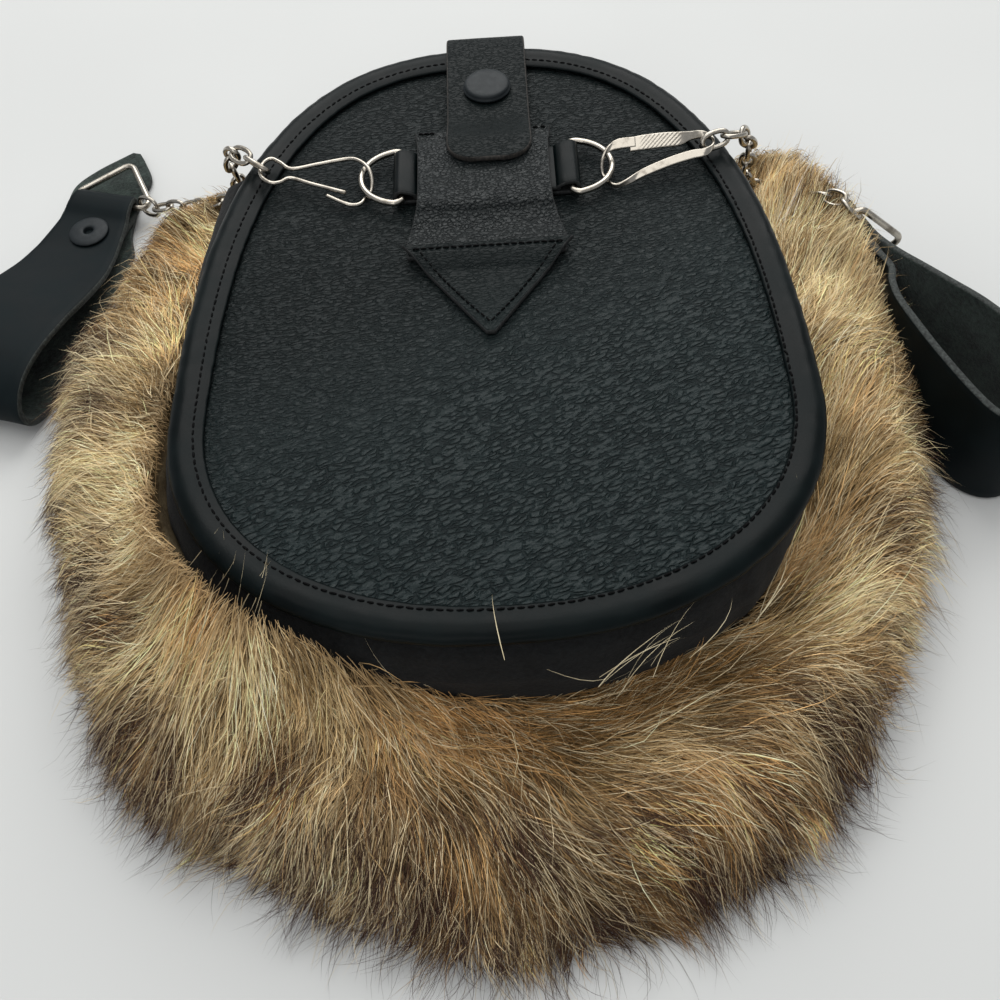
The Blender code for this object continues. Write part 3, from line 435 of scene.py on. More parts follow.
class Graph:
    """A material's nodes, added in short calls."""

    def __init__(self, name):
        self.material = bpy.data.materials.new(name)
        self.material.use_nodes = True
        self.tree = self.material.node_tree
        self.shader = self.tree.nodes["Principled BSDF"]
        self.where = self.add("ShaderNodeTexCoord").outputs["Object"]

    def add(self, kind, **values):
        node = self.tree.nodes.new(kind)
        for key, value in values.items():
            setattr(node, key, value)
        return node

    def set(self, socket, value):
        if isinstance(value, bpy.types.NodeSocket):
            self.tree.links.new(value, socket)
        else:
            socket.default_value = value

    def mapped(self, scale):
        node = self.add("ShaderNodeMapping")
        self.set(node.inputs["Vector"], self.where)
        node.inputs["Scale"].default_value = scale
        return node.outputs[0]

    def noise(self, scale, detail=2.0, rough=0.5, source=None, distortion=0.0):
        node = self.add("ShaderNodeTexNoise")
        self.set(node.inputs["Vector"], source or self.where)
        node.inputs["Scale"].default_value = scale
        node.inputs["Detail"].default_value = detail
        node.inputs["Roughness"].default_value = rough
        node.inputs["Distortion"].default_value = distortion
        return node.outputs["Fac"]

    def cells(self, scale, source, feature, randomness=1.0):
        node = self.add("ShaderNodeTexVoronoi", feature=feature)
        self.set(node.inputs["Vector"], source)
        node.inputs["Scale"].default_value = scale
        node.inputs["Randomness"].default_value = randomness
        return node.outputs["Distance"]

    def maths(self, operation, a, b):
        node = self.add("ShaderNodeMath", operation=operation)
        self.set(node.inputs[0], a)
        self.set(node.inputs[1], b)
        return node.outputs[0]

    def spread(self, value, low, high, to_low=0.0, to_high=1.0):
        node = self.add("ShaderNodeMapRange", interpolation_type="SMOOTHSTEP")
        self.set(node.inputs["Value"], value)
        for name, number in (("From Min", low), ("From Max", high), ("To Min", to_low), ("To Max", to_high)):
            node.inputs[name].default_value = number
        return node.outputs["Result"]

    def mix(self, share, a, b, blend="MIX"):
        node = self.add("ShaderNodeMix", data_type="RGBA", blend_type=blend)
        self.set(node.inputs["Factor"], share)
        for socket, value in ((node.inputs[6], a), (node.inputs[7], b)):
            self.set(socket, value if isinstance(value, bpy.types.NodeSocket) else (*value, 1.0))
        return node.outputs[2]

    def bump(self, height, distance):
        node = self.add("ShaderNodeBump")
        self.set(node.inputs["Height"], height)
        node.inputs["Distance"].default_value = distance * MM
        node.inputs["Strength"].default_value = 1.0
        return node.outputs["Normal"]

    def finish(self, **inputs):
        for key, value in inputs.items():
            name = key.replace("_", " ")
            socket = self.shader.inputs[name]
            if isinstance(value, tuple) and len(value) == 3 and socket.type == "RGBA":
                value = (*value, 1.0)
            self.set(socket, value)
        return self.material


def grained_leather(name, low_size, high_size, long, slope, base, light, depth, gloss):
    """Slanted rows of grain: long fine ridges to the mouth and the left, creased pebbles to the foot."""
    g = Graph(name)
    wander = g.add("ShaderNodeTexNoise")
    g.set(wander.inputs["Vector"], g.where)
    wander.inputs["Scale"].default_value = 260.0
    wander.inputs["Detail"].default_value = 5.0
    centred = g.add("ShaderNodeVectorMath", operation="SUBTRACT")
    g.set(centred.inputs[0], wander.outputs["Color"])
    centred.inputs[1].default_value = (0.5, 0.5, 0.5)
    shift = g.add("ShaderNodeVectorMath", operation="SCALE")
    g.set(shift.inputs[0], centred.outputs[0])
    shift.inputs["Scale"].default_value = 0.0017
    moved = g.add("ShaderNodeVectorMath", operation="ADD")
    g.set(moved.inputs[0], g.where)
    g.set(moved.inputs[1], shift.outputs[0])

    def rows_of(size, long, turn):
        rows = g.add("ShaderNodeMapping", vector_type="TEXTURE")
        g.set(rows.inputs["Vector"], moved.outputs[0])
        rows.inputs["Rotation"].default_value = (0.0, 0.0, turn)
        rows.inputs["Scale"].default_value = (size * long * MM, size * MM, size * MM)
        return rows.outputs[0]

    def pebbles(size, long, turn):
        """Domes side by side with broken creases between them; some are flatter than others."""
        coords = rows_of(size, long, turn)
        crease = g.spread(g.cells(1.0, coords, "DISTANCE_TO_EDGE", 0.95), 0.0, 0.20)
        shut = g.spread(g.noise(0.9, 3.0, 0.6, coords), 0.44, 0.60)
        dome = g.spread(g.cells(1.0, coords, "F1", 0.95), 0.05, 0.80, 1.0, 0.60)
        crinkle = g.noise(1.6, 4.0, 0.65, coords)
        height = g.maths("MULTIPLY", g.maths("MAXIMUM", crease, shut), dome)
        return g.maths("ADD", g.maths("MULTIPLY", height, 0.70), g.maths("MULTIPLY", crinkle, 0.30))

    ridges = pebbles(high_size, long * 1.1, slope * 0.35)
    pebble = pebbles(low_size, long, slope)
    separate = g.add("ShaderNodeSeparateXYZ")
    g.set(separate.inputs[0], g.where)
    place = g.maths("ADD", separate.outputs["Y"], g.maths("MULTIPLY", separate.outputs["X"], -0.45))
    place = g.maths("ADD", place, g.maths("MULTIPLY", g.noise(28.0, 2.0), 0.03))
    share = g.spread(place, 0.0, 0.075)
    height = g.add("ShaderNodeMix", data_type="FLOAT")
    g.set(height.inputs["Factor"], share)
    g.set(height.inputs[2], pebble)
    g.set(height.inputs[3], ridges)
    grain = height.outputs[0]
    wide = g.noise(55.0, 4.0, 0.6)
    pores = g.noise(1500.0, 3.0, 0.6)
    relief = g.maths("ADD", grain, g.maths("MULTIPLY", pores, 0.16))
    normal = g.bump(relief, depth)
    # Painted highlight and shade: the grain's raised pebble tops take the lighter colour and its creases the
    # darker one.
    colour = g.mix(g.spread(grain, 0.10, 0.60), base, light)
    colour = g.mix(g.spread(wide, 0.35, 0.7, 0.0, 0.25), colour, tuple(c * 1.4 for c in light))
    # Painted shade: the ridged part towards the mouth and the left is made darker and less red.
    painted_ridge_shade = tuple(c * r for c, r in zip(light, (0.2, 0.32, 0.32)))
    colour = g.mix(g.maths("MULTIPLY", share, 0.85), colour, painted_ridge_shade)
    rough = g.maths("ADD", g.spread(grain, 0.1, 0.8, 0.62, 0.36), g.maths("MULTIPLY", pores, 0.10))
    return g.finish(Base_Color=colour, Roughness=rough, Normal=normal, Specular_IOR_Level=gloss)


def smooth_leather(name, base, light, rough, wrinkle, gloss):
    """Satin leather with fine pores and faint wrinkles."""
    g = Graph(name)
    pores = g.noise(1600.0, 3.0, 0.6)
    broad = g.noise(70.0, 4.0, 0.55)
    creases = g.spread(g.cells(420.0, g.where, "DISTANCE_TO_EDGE"), 0.0, 0.12)
    height = g.maths("ADD", g.maths("MULTIPLY", pores, 0.5), g.maths("MULTIPLY", creases, 0.10))
    height = g.maths("ADD", height, broad)
    colour = g.mix(g.spread(broad, 0.3, 0.75), base, light)
    roughness = g.spread(broad, 0.3, 0.7, rough - 0.05, rough + 0.07)
    roughness = g.maths("ADD", roughness, g.maths("MULTIPLY", pores, 0.1))
    return g.finish(Base_Color=colour, Roughness=roughness, Normal=g.bump(height, wrinkle),
                    Specular_IOR_Level=gloss)


def suede(name, base, light, depth, sheen):
    """Raised, matte fibres in patches."""
    g = Graph(name)
    fibres = g.noise(900.0, 5.0, 0.75)
    patches = g.noise(130.0, 5.0, 0.7, distortion=0.6)
    both = g.maths("ADD", g.maths("MULTIPLY", fibres, 0.6), g.maths("MULTIPLY", patches, 0.6))
    colour = g.mix(g.spread(both, 0.42, 0.78), base, light)
    rough = g.spread(fibres, 0.3, 0.7, 0.98, 0.86)
    return g.finish(Base_Color=colour, Roughness=rough, Normal=g.bump(both, depth), Sheen_Weight=sheen,
                    Sheen_Roughness=0.5, Specular_IOR_Level=0.25)


def cut_edge(name, base, light):
    """The fibrous cut edge of thick leather."""
    g = Graph(name)
    fibres = g.noise(1500.0, 4.0, 0.7, g.mapped((1.0, 1.0, 0.4)))
    colour = g.mix(g.spread(fibres, 0.35, 0.7), base, light)
    rough = g.spread(fibres, 0.3, 0.7, 0.85, 0.7)
    return g.finish(Base_Color=colour, Roughness=rough, Normal=g.bump(fibres, 0.12))


def thread(name, base, light):
    """Dull twisted thread."""
    g = Graph(name)
    twist = g.noise(2600.0, 2.0, 0.5)
    colour = g.mix(g.spread(twist, 0.35, 0.65), base, light)
    rough = g.spread(twist, 0.3, 0.7, 0.72, 0.6)
    return g.finish(Base_Color=colour, Roughness=rough, Normal=g.bump(twist, 0.05), Specular_IOR_Level=0.06)


def nickel(name, base, worn):
    """Plated steel, slightly warm, with faint rubbing and grime."""
    g = Graph(name)
    grime = g.noise(220.0, 5.0, 0.65)
    rub = g.noise(1800.0, 3.0, 0.6)
    colour = g.mix(g.spread(grime, 0.5, 0.72), base, worn)
    rough = g.maths("ADD", g.spread(grime, 0.4, 0.75, 0.20, 0.36), g.maths("MULTIPLY", rub, 0.05))
    return g.finish(Base_Color=colour, Roughness=rough, Metallic=1.0, Normal=g.bump(grime, 0.004))


def dark_metal(name):
    """A painted or blackened snap."""
    g = Graph(name)
    mottle = g.noise(500.0, 4.0, 0.6)
    scuff = g.noise(2200.0, 3.0, 0.6)
    colour = g.mix(g.spread(mottle, 0.35, 0.7), (0.010, 0.013, 0.015), (0.015, 0.019, 0.021))
    rough = g.spread(mottle, 0.3, 0.7, 0.48, 0.44)
    return g.finish(Base_Color=colour, Roughness=rough, Specular_IOR_Level=0.16, Normal=g.bump(scuff, 0.03))


def hair(name):
    """Strands take the colour stored along them, with small changes from place to place."""
    g = Graph(name)
    stored = g.add("ShaderNodeAttribute", attribute_name="hair_colour").outputs["Color"]
    change = g.noise(300.0, 3.0, 0.6)
    darker = g.mix(1.0, stored, (0.80, 0.77, 0.72), "MULTIPLY")
    colour = g.mix(g.spread(change, 0.35, 0.65), darker, stored)
    rough = g.spread(change, 0.3, 0.7, 0.58, 0.70)
    return g.finish(Base_Color=colour, Roughness=rough, Specular_IOR_Level=0.14, Sheen_Weight=0.04,
                    Sheen_Roughness=0.5)


def undercoat_material(name):
    """Soft wool under the long hair, with painted shade in its hollows."""
    g = Graph(name)
    stored = g.add("ShaderNodeAttribute", attribute_name="hair_colour").outputs["Color"]
    wool = g.noise(900.0, 5.0, 0.75)
    tufts = g.noise(150.0, 4.0, 0.6)
    both = g.maths("ADD", g.maths("MULTIPLY", wool, 0.5), g.maths("MULTIPLY", tufts, 0.5))
    # Painted shade: where the wool's bump is low, its colour turns to this darker copy.
    dark = g.mix(1.0, stored, (0.42, 0.38, 0.34), "MULTIPLY")
    colour = g.mix(g.spread(both, 0.36, 0.66), dark, stored)
    rough = g.spread(wool, 0.3, 0.7, 0.95, 0.85)
    return g.finish(Base_Color=colour, Roughness=rough, Normal=g.bump(both, 1.2), Specular_IOR_Level=0.2)


PANEL_GRAIN = grained_leather(
    "panel_grain", 1.25, 0.95, 2.7, 0.42, (0.0028, 0.0064, 0.0070), (0.0068, 0.0136, 0.0142), 0.95, 0.19)
STRAP_GRAIN = grained_leather(
    "strap_grain", 0.9, 0.8, 2.2, 0.2, (0.0010, 0.0034, 0.0037), (0.0028, 0.0084, 0.0088), 0.22, 0.11)
KEEPER_GRAIN = grained_leather(
    "keeper_grain", 1.10, 1.0, 1.25, 0.3, (0.0014, 0.0036, 0.0041), (0.0052, 0.0118, 0.0128), 0.80, 0.34)
SMOOTH = smooth_leather("smooth_black", (0.0010, 0.0024, 0.0026), (0.0024, 0.0052, 0.0056), 0.32, 0.05, 0.09)
STRAP_SMOOTH = smooth_leather(
    "hanger_black", (0.0026, 0.0052, 0.0062), (0.0048, 0.0088, 0.0102), 0.50, 0.03, 0.09)
GREEN_SUEDE = suede("green_suede", (0.004, 0.007, 0.006), (0.032, 0.048, 0.040), 0.6, 0.15)
BLACK_SUEDE = suede("black_suede", (0.0010, 0.0012, 0.0013), (0.0062, 0.0070, 0.0076), 0.35, 0.04)
# Light grey cut edge: the hangers' own edges, and on the gusset's rim also a painted highlight line along the
# binding's outer edge.
GREY_EDGE_AND_HIGHLIGHT = cut_edge("grey_edge_and_highlight", (0.007, 0.009, 0.008), (0.038, 0.046, 0.042))
DARK_EDGE = cut_edge("dark_edge", (0.004, 0.0045, 0.0045), (0.018, 0.020, 0.020))
BROWN_EDGE = cut_edge("brown_edge", (0.008, 0.007, 0.006), (0.038, 0.032, 0.026))
THREAD = thread("black_thread", (0.0010, 0.0010, 0.0012), (0.0036, 0.0036, 0.0040))
NICKEL = nickel("nickel_plate", (0.44, 0.405, 0.35), (0.22, 0.195, 0.16))
SNAP = dark_metal("snap_metal")
HAIR = hair("long_hair")
WOOL = undercoat_material("wool")


# ---------------------------------------------------------------- camera, floor and light

CAMERA_PLACE = (7.04, -153.9, 262.5)           # as fitted to the photograph
CAMERA_PITCH = math.radians(59.3)              # below the horizon
CAMERA_ROLL = math.radians(-5.62)
CAMERA_YAW = math.radians(-2.88)
LENS = 36.0
SENSOR = 36.0
FLOOR_HALF = 3.0                               # metres


def make_camera():
    e, r, y = CAMERA_PITCH, CAMERA_ROLL, CAMERA_YAW
    forward = Vector((math.sin(y) * math.cos(e), math.cos(y) * math.cos(e), -math.sin(e)))
    level = Vector((math.cos(y), -math.sin(y), 0.0))
    above = level.cross(forward)
    right = level * math.cos(r) + above * math.sin(r)
    up = -level * math.sin(r) + above * math.cos(r)
    data = bpy.data.cameras.new("camera")
    data.lens = LENS
    data.sensor_width = SENSOR
    data.clip_start = 0.01
    camera = bpy.data.objects.new("camera", data)
    turn = Matrix((right, up, -forward)).transposed().to_4x4()
    camera.matrix_world = Matrix.Translation(Vector(CAMERA_PLACE) * MM) @ turn
    bpy.context.scene.collection.objects.link(camera)
    bpy.context.scene.camera = camera


def make_floor():
    g = Graph("floor_paint")
    soft = g.noise(6.0, 2.0)
    colour = g.mix(g.spread(soft, 0.3, 0.7), (0.572, 0.577, 0.568), (0.594, 0.599, 0.590))
    paint = g.finish(Base_Color=colour, Roughness=0.75, Specular_IOR_Level=0.2)
    mesh = bpy.data.meshes.new("floor")
    corners = [(x * FLOOR_HALF, y * FLOOR_HALF, 0) for x, y in ((-1, -1), (1, -1), (1, 1), (-1, 1))]
    mesh.from_pydata(corners, [], [(0, 1, 2, 3)])
    mesh.materials.append(paint)
    floor = bpy.data.objects.new("floor", mesh)
    bpy.context.scene.collection.objects.link(floor)


def area_light(name, place, target, size, power, colour):
    data = bpy.data.lights.new(name, "AREA")
    data.shape = "RECTANGLE"
    data.size, data.size_y = size
    data.energy = power
    data.color = colour
    lamp = bpy.data.objects.new(name, data)
    lamp.location = place
    aim = Vector(target) - Vector(place)
    lamp.rotation_euler = aim.to_track_quat("-Z", "Y").to_euler()
    bpy.context.scene.collection.objects.link(lamp)


def make_light():
    world = bpy.data.worlds.new("room")
    bpy.context.scene.world = world
    world.use_nodes = True
    backdrop = world.node_tree.nodes["Background"]
    backdrop.inputs["Color"].default_value = (0.93, 0.96, 1.0, 1.0)
    backdrop.inputs["Strength"].default_value = 0.42
    area_light("window", (0.12, 1.25, 1.20), (0.0, 0.02, 0.02), (1.9, 1.1), 25.0, (1.0, 1.0, 0.98))
    area_light("ceiling", (-0.15, 0.1, 1.5), (0.0, 0.0, 0.0), (1.4, 1.4), 10.0, (1.0, 0.99, 0.97))
    area_light("fill", (-0.35, -1.1, 0.75), (0.0, 0.0, 0.03), (0.7, 0.5), 2.2, (1.0, 0.99, 0.97))
    bpy.context.scene.view_settings.view_transform = "Standard"


make_camera()
make_floor()
make_light()


# ---------------------------------------------------------------- the pouch

PANEL_SPANS = 260
PANEL_RINGS = 46
PANEL_CENTRE = np.array([0.0, 38.0])
PANEL_SAG = 0.15                               # of the face under the binding's edge


def make_panel():
    """The back panel: softly padded, pulled down along the seam."""
    outline = egg_outline(BACK_EGG, PANEL_SPANS)
    outline = outline - outward_of(outline) * BACK_INSET
    shares = 1.0 - np.linspace(0.0, 1.0, PANEL_RINGS) ** 1.3 * 0.985
    sway = noise_field(11, 26.0)
    rows = [np.column_stack([outline, np.full(PANEL_SPANS, BACK_TOP - BACK_THICK)])]
    for share in shares:
        flat = PANEL_CENTRE + (outline - PANEL_CENTRE) * share
        inward = (1.0 - share) * 78.0
        dip = 0.55 * np.exp(-((inward - 6.5) / 3.0) ** 2)
        z = BACK_TOP - PANEL_SAG - dip + 0.12 * sway(flat[:, 0], flat[:, 1])
        rows.append(np.column_stack([flat, np.minimum(z, BACK_TOP + 0.05)]))
    hubs = [[*PANEL_CENTRE, BACK_TOP - PANEL_SAG], [*PANEL_CENTRE, BACK_TOP - BACK_THICK]]
    hub, last = len(rows) * PANEL_SPANS, (len(rows) - 1) * PANEL_SPANS
    faces = [grid_faces(len(rows), PANEL_SPANS, closed_columns=True), fan(last, PANEL_SPANS, hub),
             fan(0, PANEL_SPANS, hub + 1, flip=True)]
    piece("panel_leather", np.concatenate([*rows, hubs]), faces, [PANEL_GRAIN],
          "back_panel")


BINDING_SPANS = 420
BINDING_STEP = 1.5                             # about the distance between its points
BINDING_EDGE = 6.8                             # its cut edge in from the outline, where it is narrowest
# Offset outward from the back outline, height over the back panel's face, share of the wrinkles
BINDING_SECTION = [
    (-6.9, 0.15, 0), (-6.8, 0.62, 0), (-6.3, 0.90, 0.2), (-5.2, 1.02, 0.3), (-3.9, 1.30, 0.5),
    (-2.7, 1.48, 0.7), (-1.6, 1.46, 1.0), (-0.5, 1.18, 1.0), (0.5, 0.66, 1.0), (1.2, 0.02, 1.0),
    (1.6, -0.75, 1.0), (1.68, -1.6, 1.0), (1.45, -2.5, 1.0), (0.95, -3.3, 0.8), (0.1, -3.9, 0.4),
    (-1.0, -4.15, 0), (-5.5, -4.15, 0), (-5.5, -2.55, 0), (-0.5, -2.55, 0), (-0.5, 0.22, 0),
]


def seam_side(outline):
    """1 where the binding is widest, at the mouth and to the left, and 0 at the foot and to the right."""
    turn = np.arctan2(outline[:, 1] - 30.0, outline[:, 0])
    return 0.5 + 0.5 * np.cos(turn - math.radians(140.0))


def binding_inner(outline):
    """How far in from the outline the binding's cut edge lies."""
    return BINDING_EDGE + 1.9 * seam_side(outline)


def make_binding():
    """A folded strip round the edge, wrinkled on the outside, with a wavering cut edge inside."""
    outline = egg_outline(BACK_EGG, BINDING_SPANS)
    outward = outward_of(outline)
    run = np.arange(BINDING_SPANS) * BINDING_STEP
    fold = noise_field(21, 2.6, 256)
    slow = noise_field(22, 17.0)
    rows = []
    for out, height, wrinkle in BINDING_SECTION:
        ripple = wrinkle * (0.10 * fold(run, np.full(BINDING_SPANS, out * 3.0)) + 0.10 * slow(run, run * 0))
        offset = out + ripple
        if out < -6.0:
            jag = 0.12 * fold(run * 2.2, np.full(BINDING_SPANS, 90.0))
            offset = out + BINDING_EDGE - binding_inner(outline) + jag
        rows.append(np.column_stack([outline + outward * offset[:, None],
                                     BACK_TOP + height + ripple * (1.0 if height > 0 else 0.4)]))
    faces = grid_faces(len(rows), BINDING_SPANS, closed_rows=True, closed_columns=True)
    piece("binding_leather", np.concatenate(rows), [faces], [SMOOTH], "back_binding")


# Distance from stitch to stitch, a stitch's length and its radius
SEAM_STITCH = (2.3, 1.75, 0.30)
PATCH_STITCH = (2.1, 1.6, 0.26)
CORNER_STITCH = (1.9, 1.4, 0.30)
STITCH_SHAPE = ((-1.0, -1.6), (-0.72, -0.1), (-0.25, 0.35), (0.25, 0.35), (0.72, -0.1), (1.0, -1.6))
UP = (0.0, 0.0, 1.0)


def stitches(route, size, seed, closed=False):
    """Short threads along a route, each sunk at both ends into the leather."""
    random = np.random.default_rng(seed)
    pitch, length, radius = size
    route = np.asarray(route, dtype=float)
    if closed:
        route = np.concatenate([route, route[:1]])
    count = int(round(np.linalg.norm(np.diff(route, axis=0), axis=1).sum() / pitch))
    places = even_points(route, count * 8)
    up = np.array(UP)
    parts = []
    for k in range(count):
        here = places[k * 8 + 4]
        run = unit(places[(k + 1) * 8] - places[k * 8])
        run = unit(run + np.cross(up, run) * random.normal(0.0, 0.10))
        half = length / 2 * random.uniform(0.88, 1.08)
        wide = radius * random.uniform(0.9, 1.1)
        parts.append(tube([here + run * half * a + up * wide * b for a, b in STITCH_SHAPE], wide, 6))
    return joined(parts)


def make_seam():
    """The binding's stitches."""
    outline = egg_outline(BACK_EGG, BINDING_SPANS)
    inset = 6.2 - 0.9 * seam_side(outline)
    ring = outline - outward_of(outline) * inset[:, None]
    route = np.column_stack([ring, np.full(BINDING_SPANS, BACK_TOP + 0.96)])
    vertices, faces = stitches(route, SEAM_STITCH, 3, closed=True)
    piece("binding_stitches", vertices, [faces], [THREAD])


GUSSET_SPANS = 190
GUSSET_LEVELS = 22
GUSSET_LENGTH = 420.0
GUSSET_THICK = 1.6


def make_gusset():
    """The wall between the panels: bowed, with shallow upright folds that are deepest half way up."""
    table = np.array(GUSSET_ROWS)[::-1]
    fold, slow = noise_field(31, 5.0, 128), noise_field(32, 16.0)
    run = np.linspace(0.0, 1.0, GUSSET_SPANS + 1) * GUSSET_LENGTH
    rows = []
    for k, z in enumerate(np.linspace(GUSSET_ROWS[0][0], GUSSET_ROWS[-1][0], GUSSET_LEVELS)):
        egg = [np.interp(z, table[:, 0], table[:, c]) for c in (1, 2, 3, 4)] + [BACK_EGG[4]]
        shift, end_y = [np.interp(z, table[:, 0], table[:, c]) for c in (5, 6)]
        arc = egg_arc(egg, end_y, shift, GUSSET_SPANS)
        ahead = np.gradient(arc, axis=0)
        outward = unit(np.stack([ahead[:, 1], -ahead[:, 0]], axis=1))
        free = math.sin(math.pi * k / (GUSSET_LEVELS - 1))
        folds = 0.9 * fold(run, z * 0.25 + run * 0) + 0.9 * slow(run, z * 0.6 + run * 0)
        arc = arc + outward * (folds * free * 0.8)[:, None]
        rows.append(np.column_stack([arc, np.full(GUSSET_SPANS + 1, z)]))
    grid = np.array(rows)
    normal = unit(np.cross(np.gradient(grid, axis=0), np.gradient(grid, axis=1)))
    outer, inner = grid + normal * GUSSET_THICK / 2, grid - normal * GUSSET_THICK / 2
    count, columns = grid.shape[:2]
    size = count * columns
    faces = [grid_faces(count, columns), grid_faces(count, columns, start=size)[:, ::-1]]
    edge = np.concatenate([np.arange(columns), np.arange(1, count) * columns + columns - 1,
                           (count - 1) * columns + np.arange(columns - 2, -1, -1),
                           np.arange(count - 2, 0, -1) * columns])
    after = np.roll(edge, -1)
    faces.append(np.stack([edge, edge + size, after + size, after], axis=1))
    # The rim faces take the light grey cut edge, partly the suede's own edge and partly a painted highlight
    # along the binding.
    kinds = np.concatenate([np.zeros(len(faces[0]) * 2), np.ones(len(faces[2]))])
    piece("gusset_suede", np.concatenate([outer.reshape(-1, 3), inner.reshape(-1, 3)]), faces,
          [BLACK_SUEDE, GREY_EDGE_AND_HIGHLIGHT], "gusset", kinds)


FRONT_SPANS = 240
FRONT_STEP = 2.6                               # about the distance between its points
FRONT_CENTRE = (0.0, 30.0)
# Offset outward from the front outline, height over the front panel's face
FRONT_SECTION = [
    (-12.0, 0.0), (-7.0, 0.05), (-2.0, 0.1), (-0.6, -0.05), (0.1, -0.5), (0.35, -1.2), (0.1, -1.9),
    (-0.6, -2.4),
]


def make_front():
    """The front panel, whose suede edge shows as a band round the pouch's foot."""
    outline = egg_outline(FRONT_EGG, FRONT_SPANS)
    outward = outward_of(outline)
    worn = noise_field(41, 7.0, 128)
    run = np.arange(FRONT_SPANS) * FRONT_STEP
    rows = []
    for out, height in FRONT_SECTION:
        rag = 0.5 * worn(run, np.full(FRONT_SPANS, out)) * (1.0 if out > -3 else 0.3)
        flat = outline + outward * (out + rag)[:, None]
        rows.append(np.column_stack([flat, np.full(FRONT_SPANS, FRONT_TOP + height)]))
    hubs = [[*FRONT_CENTRE, FRONT_TOP], [*FRONT_CENTRE, FRONT_TOP - FRONT_THICK]]
    hub, last = len(rows) * FRONT_SPANS, (len(rows) - 1) * FRONT_SPANS
    faces = [grid_faces(len(rows), FRONT_SPANS, closed_columns=True)[:, ::-1], fan(0, FRONT_SPANS, hub),
             fan(last, FRONT_SPANS, hub + 1, flip=True)]
    piece("front_suede", np.concatenate([*rows, hubs]), faces, [BLACK_SUEDE], "front_panel")


def strip_rows(rows, shift=0.0):
    """A strip across the pouch, from y, height and half width."""
    return [((shift - half, y, z), (shift + half, y, z)) for y, z, half in rows]


def flipped(rows):
    """The same strip with its outer face on the other side."""
    return [(right, left) for left, right in rows]


def slab_piece(name, rows, thickness, materials, slot, node, **options):
    vertices, faces, kinds = slab(rows, thickness, **options)
    return weld(piece(name, vertices, [faces], materials, node, kinds))


# Radius and height from the crown down; the eyelet's starts inside its hole
SNAP_PROFILE = [
    (0.01, 2.22), (3.0, 2.21), (5.2, 2.16), (6.2, 2.06), (6.8, 1.82), (7.05, 1.40), (7.1, 0.98), (7.35, 0.85),
    (7.5, 0.62), (7.45, 0.25), (7.1, 0.0), (0.01, 0.0),
]
EYELET_PROFILE = [
    (1.75, -0.8), (1.75, 0.50), (1.95, 0.80), (2.6, 0.92), (3.6, 0.86), (5.2, 0.76), (6.4, 0.60), (6.9, 0.36),
    (7.1, 0.12), (7.05, 0.0), (1.8, 0.0),
]


def make_tab():
    """The closure tab, bent round the mouth, with its snap."""
    uneven = noise_field(51, 9.0)

    def relief(centre, along, offsets, span):
        rim = np.exp(-((along - 3.5) / 2.0) ** 2) * 0.15
        return 0.10 * uneven(centre[..., 0], along) - rim

    slab_piece("tab_leather", strip_rows(TAB_ROWS, TAB_SHIFT), TAB_THICK,
               [STRAP_GRAIN, BLACK_SUEDE, BROWN_EDGE], "grained_leather", "closure_tab",
               edge=0.8, along=150, across=16, relief=relief)
    vertices, faces = lathe(SNAP_PROFILE, 56)
    place = np.array([TAB_SHIFT, SNAP_Y, TAB_MIDDLE + TAB_THICK / 2 + GAP])
    piece("snap_cap", vertices + place, [faces], [SNAP], "tab_snap_cap")


def make_keeper():
    """The pebbled keeper over the D-rings' strap, and the patch that holds it."""
    uneven = noise_field(52, 8.0)

    def relief(centre, along, offsets, span):
        return 0.14 * uneven(centre[..., 0], centre[..., 1])

    def turned_edge(centre, along, offsets, span):
        side = np.minimum(offsets, span - offsets)
        return -0.28 * np.exp(-((side - 2.4) / 0.7) ** 2) - 0.28 * np.exp(-((along - 2.6) / 0.7) ** 2)

    slab_piece("keeper_leather", flipped(strip_rows(KEEPER_ROWS)), KEEPER_THICK,
               [KEEPER_GRAIN, BLACK_SUEDE, DARK_EDGE], "grained_leather", "keeper",
               edge=0.6, along=90, across=24, relief=relief)
    slab_piece("patch_leather", flipped(strip_rows(PATCH_ROWS, PATCH_SHIFT)), PATCH_THICK,
               [STRAP_GRAIN, BLACK_SUEDE, DARK_EDGE], "grained_leather", "keeper_patch",
               edge=0.7, along=70, across=30, relief=turned_edge)


PATCH_SEAM = [(-20.8, 49.7, 59.0), (0.3, 49.7, 59.0), (21.4, 49.7, 59.0)]
PATCH_SEAM_END = (PATCH_SHIFT, 23.6, 57.05)
CORNER_Y, CORNER_TOP = 99.7, 57.0              # the keeper's two upper corners


def make_small_stitches():
    """Stitches of the keeper and of its patch."""
    parts = [stitches(PATCH_SEAM, PATCH_STITCH, 5)]
    for side in (-1, 1):
        edge = [(PATCH_SHIFT + side * (half - 2.6), y + 0.3, z + 0.86) for y, z, half in PATCH_ROWS[1:-1]]
        parts.append(stitches(smooth_route(edge + [PATCH_SEAM_END], 40), PATCH_STITCH, 6 + side))
        corner = [(side * 19.6, CORNER_Y, CORNER_TOP), (side * 14.9 + 0.2, CORNER_Y, CORNER_TOP)]
        parts.append(stitches(corner, CORNER_STITCH, 9 + side))
    vertices, faces = joined(parts)
    piece("keeper_stitches", vertices, [faces], [THREAD])


